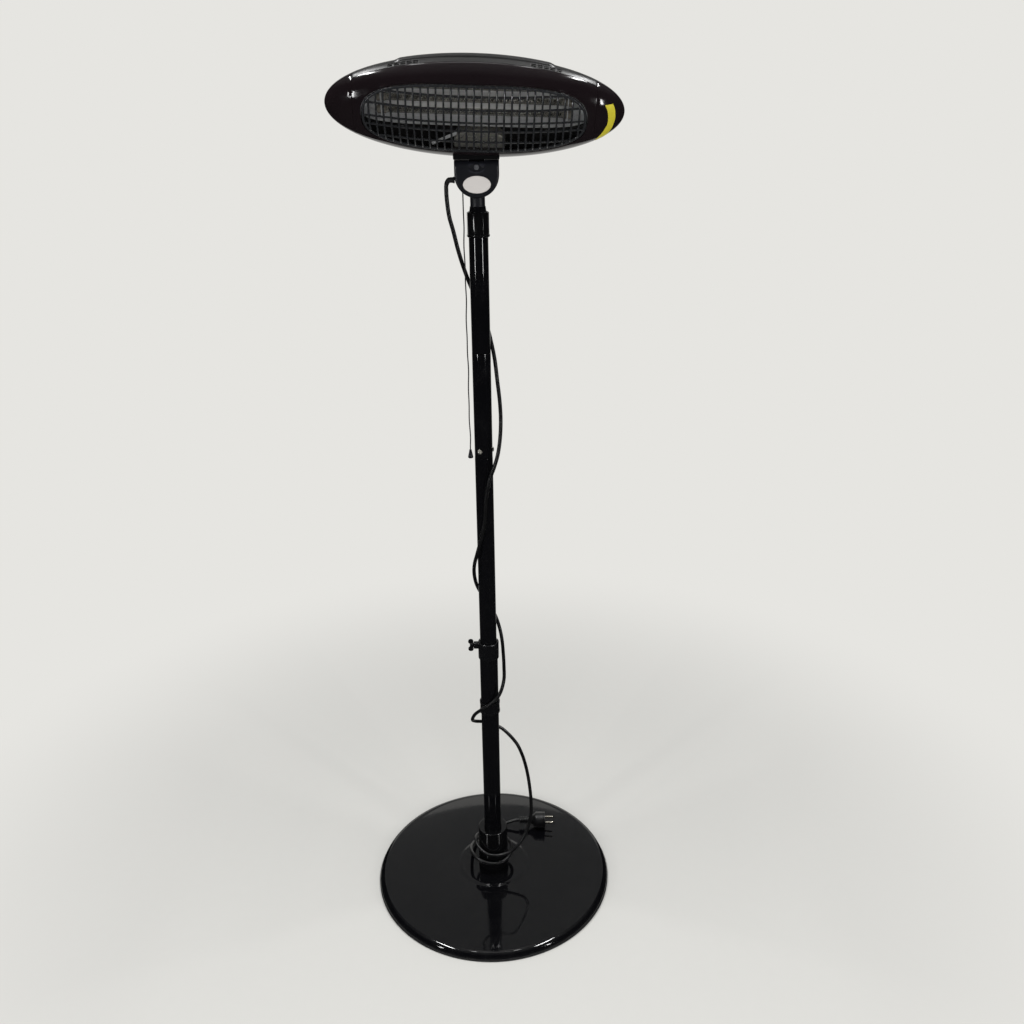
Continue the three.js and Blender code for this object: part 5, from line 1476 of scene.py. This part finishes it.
class HEATER_OT_shells(bpy.types.Operator):
    """Makes the head's front and rear shells and its end caps"""

    bl_idname = "heater.shells"
    bl_label = "Head shells"
    bl_options = {"REGISTER", "UNDO"}

    def execute(self, context):
        limit = CAP_SEAM - GAP / 2
        front = raw_object("front_shell_moulding", skin(front_shell_rows(), around=True))
        work = bmesh.new()
        work.from_mesh(front.data)
        for side in (-1, 1):
            bmesh.ops.bisect_plane(
                work, geom=work.verts[:] + work.edges[:] + work.faces[:], dist=1e-6,
                plane_co=(side * limit * MM, 0, 0), plane_no=(side, 0, 0), clear_outer=True)
        work.to_mesh(front.data)
        work.free()
        outward(front, Vector((0, 0, 0)))
        front.data.transform(in_metres(HEAD))
        settle(front, SHELL_WALL)
        cut(front, round_block((-13.1, -4.6, 1485), (13.1, 4.6, 1506), 1.0))
        settle(front, SHELL_ROUND)
        dress(front, "gloss_abs", "head", ["front_shell"], degrees=40)

        profile = rounded(SEAT_PROFILE, 0.3, 3)
        rows = []
        for x, inset in ((-37.4, 0.8), (-37.1, 0.25), (-36.6, 0), (36.6, 0), (37.1, 0.25), (37.4, 0.8)):
            rows.append([(x, y * (1 - inset / 17), z + inset) for y, z in profile])
        piece("front_shell_seat", capped(rows), "gloss_trim", "head")

        others = [("rear_shell", rear_shell_skin(), "satin_abs"), ("end_cap_left", cap_skin(-1), "gloss_abs"),
                  ("end_cap_right", cap_skin(1), "gloss_abs")]
        for node, shape, look in others:
            made = raw_object(f"{node}_moulding", moved(shape, HEAD))
            outward(made, HEAD.translation * MM)
            settle(made, SHELL_WALL)
            settle(made, SHELL_ROUND)
            dress(made, look, "head", [node], degrees=40)
        return {"FINISHED"}


def in_metres(matrix):
    made = matrix.copy()
    made.translation = made.translation * MM
    return made


class HEATER_OT_film_strip(bpy.types.Operator):
    """Makes the blank yellow film on the right end cap"""

    bl_idname = "heater.film_strip"
    bl_label = "Yellow film"
    bl_options = {"REGISTER", "UNDO"}

    def execute(self, context):
        lift = context.scene.heater_sizes.strip_lift / MM
        inner, outer = (smooth_path([(*pair[side], 0) for pair in STRIP_EDGES], 5) for side in (0, 1))
        across = 6
        rows = []
        for near, far in zip(inner, outer):
            places = [near.lerp(far, i / across) for i in range(across + 1)]
            top = [on_head(place.x, place.y, lift) for place in places]
            rows.append(top + [on_head(place.x, place.y, 0.02) for place in reversed(places)])
        piece("end_cap_film_blank", moved(capped(rows), HEAD), "strip", "head",
              degrees=30)
        return {"FINISHED"}


def face_depth(x, z):
    """The depth of the middle of the front shell's wall."""
    return on_head(x, z, -HEAD_WALL / 2)[1]


def rim_reach(place, along, across):
    """How far the guard's rim reaches in one direction, at a place along the other."""
    share = min(abs(place) / (OPENING_HALF[along] - RIM_INSET), 1.0)
    return (OPENING_HALF[across] - RIM_INSET) * (1 - share ** OPENING_POWER) ** (1 / OPENING_POWER)


class HEATER_OT_guard(bpy.types.Operator):
    """Makes the welded wire guard over the opening"""

    bl_idname = "heater.guard"
    bl_label = "Wire guard"
    bl_options = {"REGISTER", "UNDO"}

    def execute(self, context):
        sizes = context.scene.heater_sizes
        wire, rim = sizes.guard_wire / MM / 2, sizes.rim_wire / MM / 2
        shapes = []
        for number in range(-WIRE_PAIRS, WIRE_PAIRS + 1):
            x = number * WIRE_PITCH
            half = rim_reach(x, 0, 1)
            steps = 28
            path = []
            for i in range(steps + 1):
                z = OPENING_MIDDLE - half * math.cos(math.pi * i / steps)
                left = half - abs(z - OPENING_MIDDLE)
                path.append((x, face_depth(x, z) + RIM_OFFSET * (1 - smooth_step(left / 5)), z))
            shapes.append(swept(path, wire, 10))
        for z in CROSS_WIRES:
            half = rim_reach(z - OPENING_MIDDLE, 1, 0)
            steps = 48
            path = []
            for i in range(steps + 1):
                x = -half * math.cos(math.pi * i / steps)
                behind = RIM_OFFSET + (CROSS_OFFSET - RIM_OFFSET) * smooth_step((half - abs(x)) / 8)
                path.append((x, face_depth(x, z) + behind, z))
            shapes.append(swept(path, wire, 10))
        half_x, half_z = OPENING_HALF[0] - RIM_INSET, OPENING_HALF[1] - RIM_INSET
        ring = [(x, face_depth(x, z) + RIM_OFFSET, z)
                for x, z in superellipse(half_x, half_z, OPENING_POWER, 220, OPENING_MIDDLE)]
        shapes.append(swept(ring, rim, 14, closed=True))
        piece("guard_grille_wires", moved(joined(*shapes), HEAD), "wire", "head",
              ["guard_grille"])
        return {"FINISHED"}


class HEATER_OT_reflector(bpy.types.Operator):
    """Makes the reflector dish, the terminal cover and the earth strap, and repaints the lamp brackets"""

    bl_idname = "heater.reflector"
    bl_label = "Reflector"
    bl_options = {"REGISTER", "UNDO"}

    def execute(self, context):
        count = 144
        rows = []
        inner = [half - HEAD_WALL - 2 * GAP for half in HEAD_HALF]
        room = 1 - (DISH_LIP / inner[1]) ** 2
        for grow, depth in ((5.0, 4.5), (3.2, 1.8), (1.8, 0.4), (0.8, 0.0)):
            row = []
            half_x, half_z = DISH_HALF[0] + grow, DISH_HALF[1] + grow
            for x, z in superellipse(half_x, half_z, DISH_POWER, count, DISH_MIDDLE):
                fit = math.sqrt((x / inner[0]) ** 2 + (z / inner[2]) ** 2)
                shrink = min(1.0, math.sqrt(room) / fit)
                row.append((x * shrink, DISH_LIP + depth, z * shrink))
            rows.append(row)
        steps = 26
        wall = superellipse(DISH_HALF[0] - DISH_SHEET, DISH_HALF[1] - DISH_SHEET, DISH_POWER, count)
        for step in range(steps + 1):
            angle = math.pi / 2 * (step / steps) ** 0.9
            size = max(math.cos(angle), 0.0) ** (2 / DISH_POWER)
            depth = DISH_DEPTH * math.sin(angle) ** (2 / DISH_POWER)
            if depth < 0.3:
                continue
            size = max(size, 0.002)
            rows.append([(x * size, DISH_LIP + depth, z * size + DISH_MIDDLE) for x, z in wall])
        dish = raw_object("reflector_dish", moved(skin(rows, around=True), HEAD))
        outward(dish, (HEAD @ Vector((0, -60, DISH_MIDDLE))) * MM)
        settle(dish, ("SOLIDIFY", {"thickness": 0.7 * MM, "offset": 1.0, "use_even_offset": False}))
        dress(dish, "aluminium", "head", ["reflector"], degrees=50)
        repaint("aluminium", "lamp_bracket_left", "lamp_bracket_right")
        repaint("enamel", "tilt_tongue")

        spring = COVER_FLOOR + COVER_RISE * 0.45
        half = COVER_HALF
        outline = rounded([(-half, spring), (-half, COVER_FLOOR, 2), (half, COVER_FLOOR, 2),
                           (half, spring)], 0)
        for i in range(1, 40):
            angle = math.pi * i / 40
            outline.append((half * math.cos(angle), spring + COVER_RISE * 0.55 * math.sin(angle)))
        centre = Vector((0, COVER_FLOOR + COVER_RISE / 2))
        rows = []
        for depth, inset in COVER_SECTION:
            row = []
            for x, z in outline:
                arm = Vector((x, z)) - centre
                place = centre + arm * (1 - inset / arm.length)
                row.append((place.x + COVER_MIDDLE, DISH_LIP + depth, place.y))
            rows.append(row)
        piece("terminal_cover_pressed", moved(capped(rows), HEAD), "zinc", "head",
              ["terminal_cover"], degrees=40)

        (x0, z0), (x1, z1) = STRAP_ENDS
        long = math.hypot(x1 - x0, z1 - z0)
        half = STRAP_WIDTH / 2
        strap = bar(rounded([(0, -half), (long, -half), (long, half), (0, half)], 1.6, 5),
                    [(0.0, 0.0), (0.6, 0.0), (0.8, 0.15)])
        screw = shifted(domed_screw(1.9, 0.9, 0.9, 0.4, 24), x=3.2, z=0.7)
        end_screw = shifted(screw, x=long - 6.4)
        place = (HEAD @ Matrix.Translation((x0, STRAP_BACK, z0))
                 @ Matrix.Rotation(-math.atan2(z1 - z0, x1 - x0), 4, "Y")
                 @ Matrix.Rotation(math.pi / 2, 4, "X"))
        piece("earth_strap_bright", moved(joined(strap, screw, end_screw), place), "aluminium", "head",
              ["earth_strap"], degrees=30)
        return {"FINISHED"}


class HEATER_OT_lamps(bpy.types.Operator):
    """Makes the three quartz tubes, their heating coils and their ceramic caps"""

    bl_idname = "heater.lamps"
    bl_label = "Lamps"
    bl_options = {"REGISTER", "UNDO"}

    def execute(self, context):
        sizes = context.scene.heater_sizes
        pitch, coil_wire = sizes.coil_pitch / MM, sizes.coil_wire / MM / 2
        glass = rounded([(3.9, -LAMP_HALF, 0.3), (5.0, -LAMP_HALF, 0.4), (5.0, LAMP_HALF, 0.4),
                         (3.9, LAMP_HALF, 0.3)], 0.3, 3)
        run = LAMP_HALF - 3
        turns = 2 * run / pitch
        steps = int(turns * 8)
        helix = []
        for i in range(steps + 1):
            angle = TURN * turns * i / steps
            helix.append((-run + 2 * run * i / steps, COIL_RADIUS * math.cos(angle),
                          COIL_RADIUS * math.sin(angle)))
        coil = swept(helix, coil_wire, 4)
        for number, height in enumerate(LAMP_HEIGHTS, 1):
            place = HEAD @ Matrix.Translation((0, LAMP_DEPTH, height))
            piece(f"quartz_tube_{number}_glass", moved(turned_x(glass, 40), place), "quartz", "head",
                  [f"quartz_tube_{number}"])
            piece(f"heating_coil_{number}", moved(coil, place), "coil", "head", degrees=80)
            for side, word in ((-1, "left"), (1, "right")):
                outline = [(radius, side * (LAMP_HALF + GAP + along), soft)
                           for radius, along, soft in LAMP_CAP_OUTLINE]
                cap = moved(turned_x(rounded(outline, 0.3, 3), 40), place)
                piece(f"lamp_cap_{word}_{number}_ceramic", cap, "ceramic", "head",
                      [f"lamp_cap_{word}_{number}"])
        return {"FINISHED"}


# ------------------------------------------------------------------ add-on

STEPS = (
    HEATER_OT_stage, HEATER_OT_lead, HEATER_OT_pull_cord, HEATER_OT_base, HEATER_OT_pole, HEATER_OT_clamp,
    HEATER_OT_top_fitting, HEATER_OT_neck, HEATER_OT_shells, HEATER_OT_film_strip, HEATER_OT_guard,
    HEATER_OT_reflector, HEATER_OT_lamps,
)


class HEATER_PT_panel(bpy.types.Panel):
    """Lists the heater's steps, sizes and colours"""

    bl_idname = "HEATER_PT_panel"
    bl_label = "Patio heater"
    bl_space_type = "VIEW_3D"
    bl_region_type = "UI"
    bl_category = "Heater"

    def draw(self, context):
        for step in STEPS:
            self.layout.operator(step.bl_idname)
        for group in (context.scene.heater_sizes, context.scene.heater_colours):
            box = self.layout.box()
            for name in group.__annotations__:
                box.prop(group, name)


CLASSES = (HeaterSizes, HeaterColours, *STEPS, HEATER_PT_panel)


def register():
    for kind in CLASSES:
        bpy.utils.register_class(kind)
    bpy.types.Scene.heater_sizes = PointerProperty(type=HeaterSizes)
    bpy.types.Scene.heater_colours = PointerProperty(type=HeaterColours)


def unregister():
    del bpy.types.Scene.heater_colours
    del bpy.types.Scene.heater_sizes
    for kind in reversed(CLASSES):
        bpy.utils.unregister_class(kind)


def main():
    """Registers the add-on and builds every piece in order."""
    register()
    for step in STEPS:
        getattr(bpy.ops.heater, step.bl_idname.split(".")[1])()


if __name__ == "__main__":
    main()
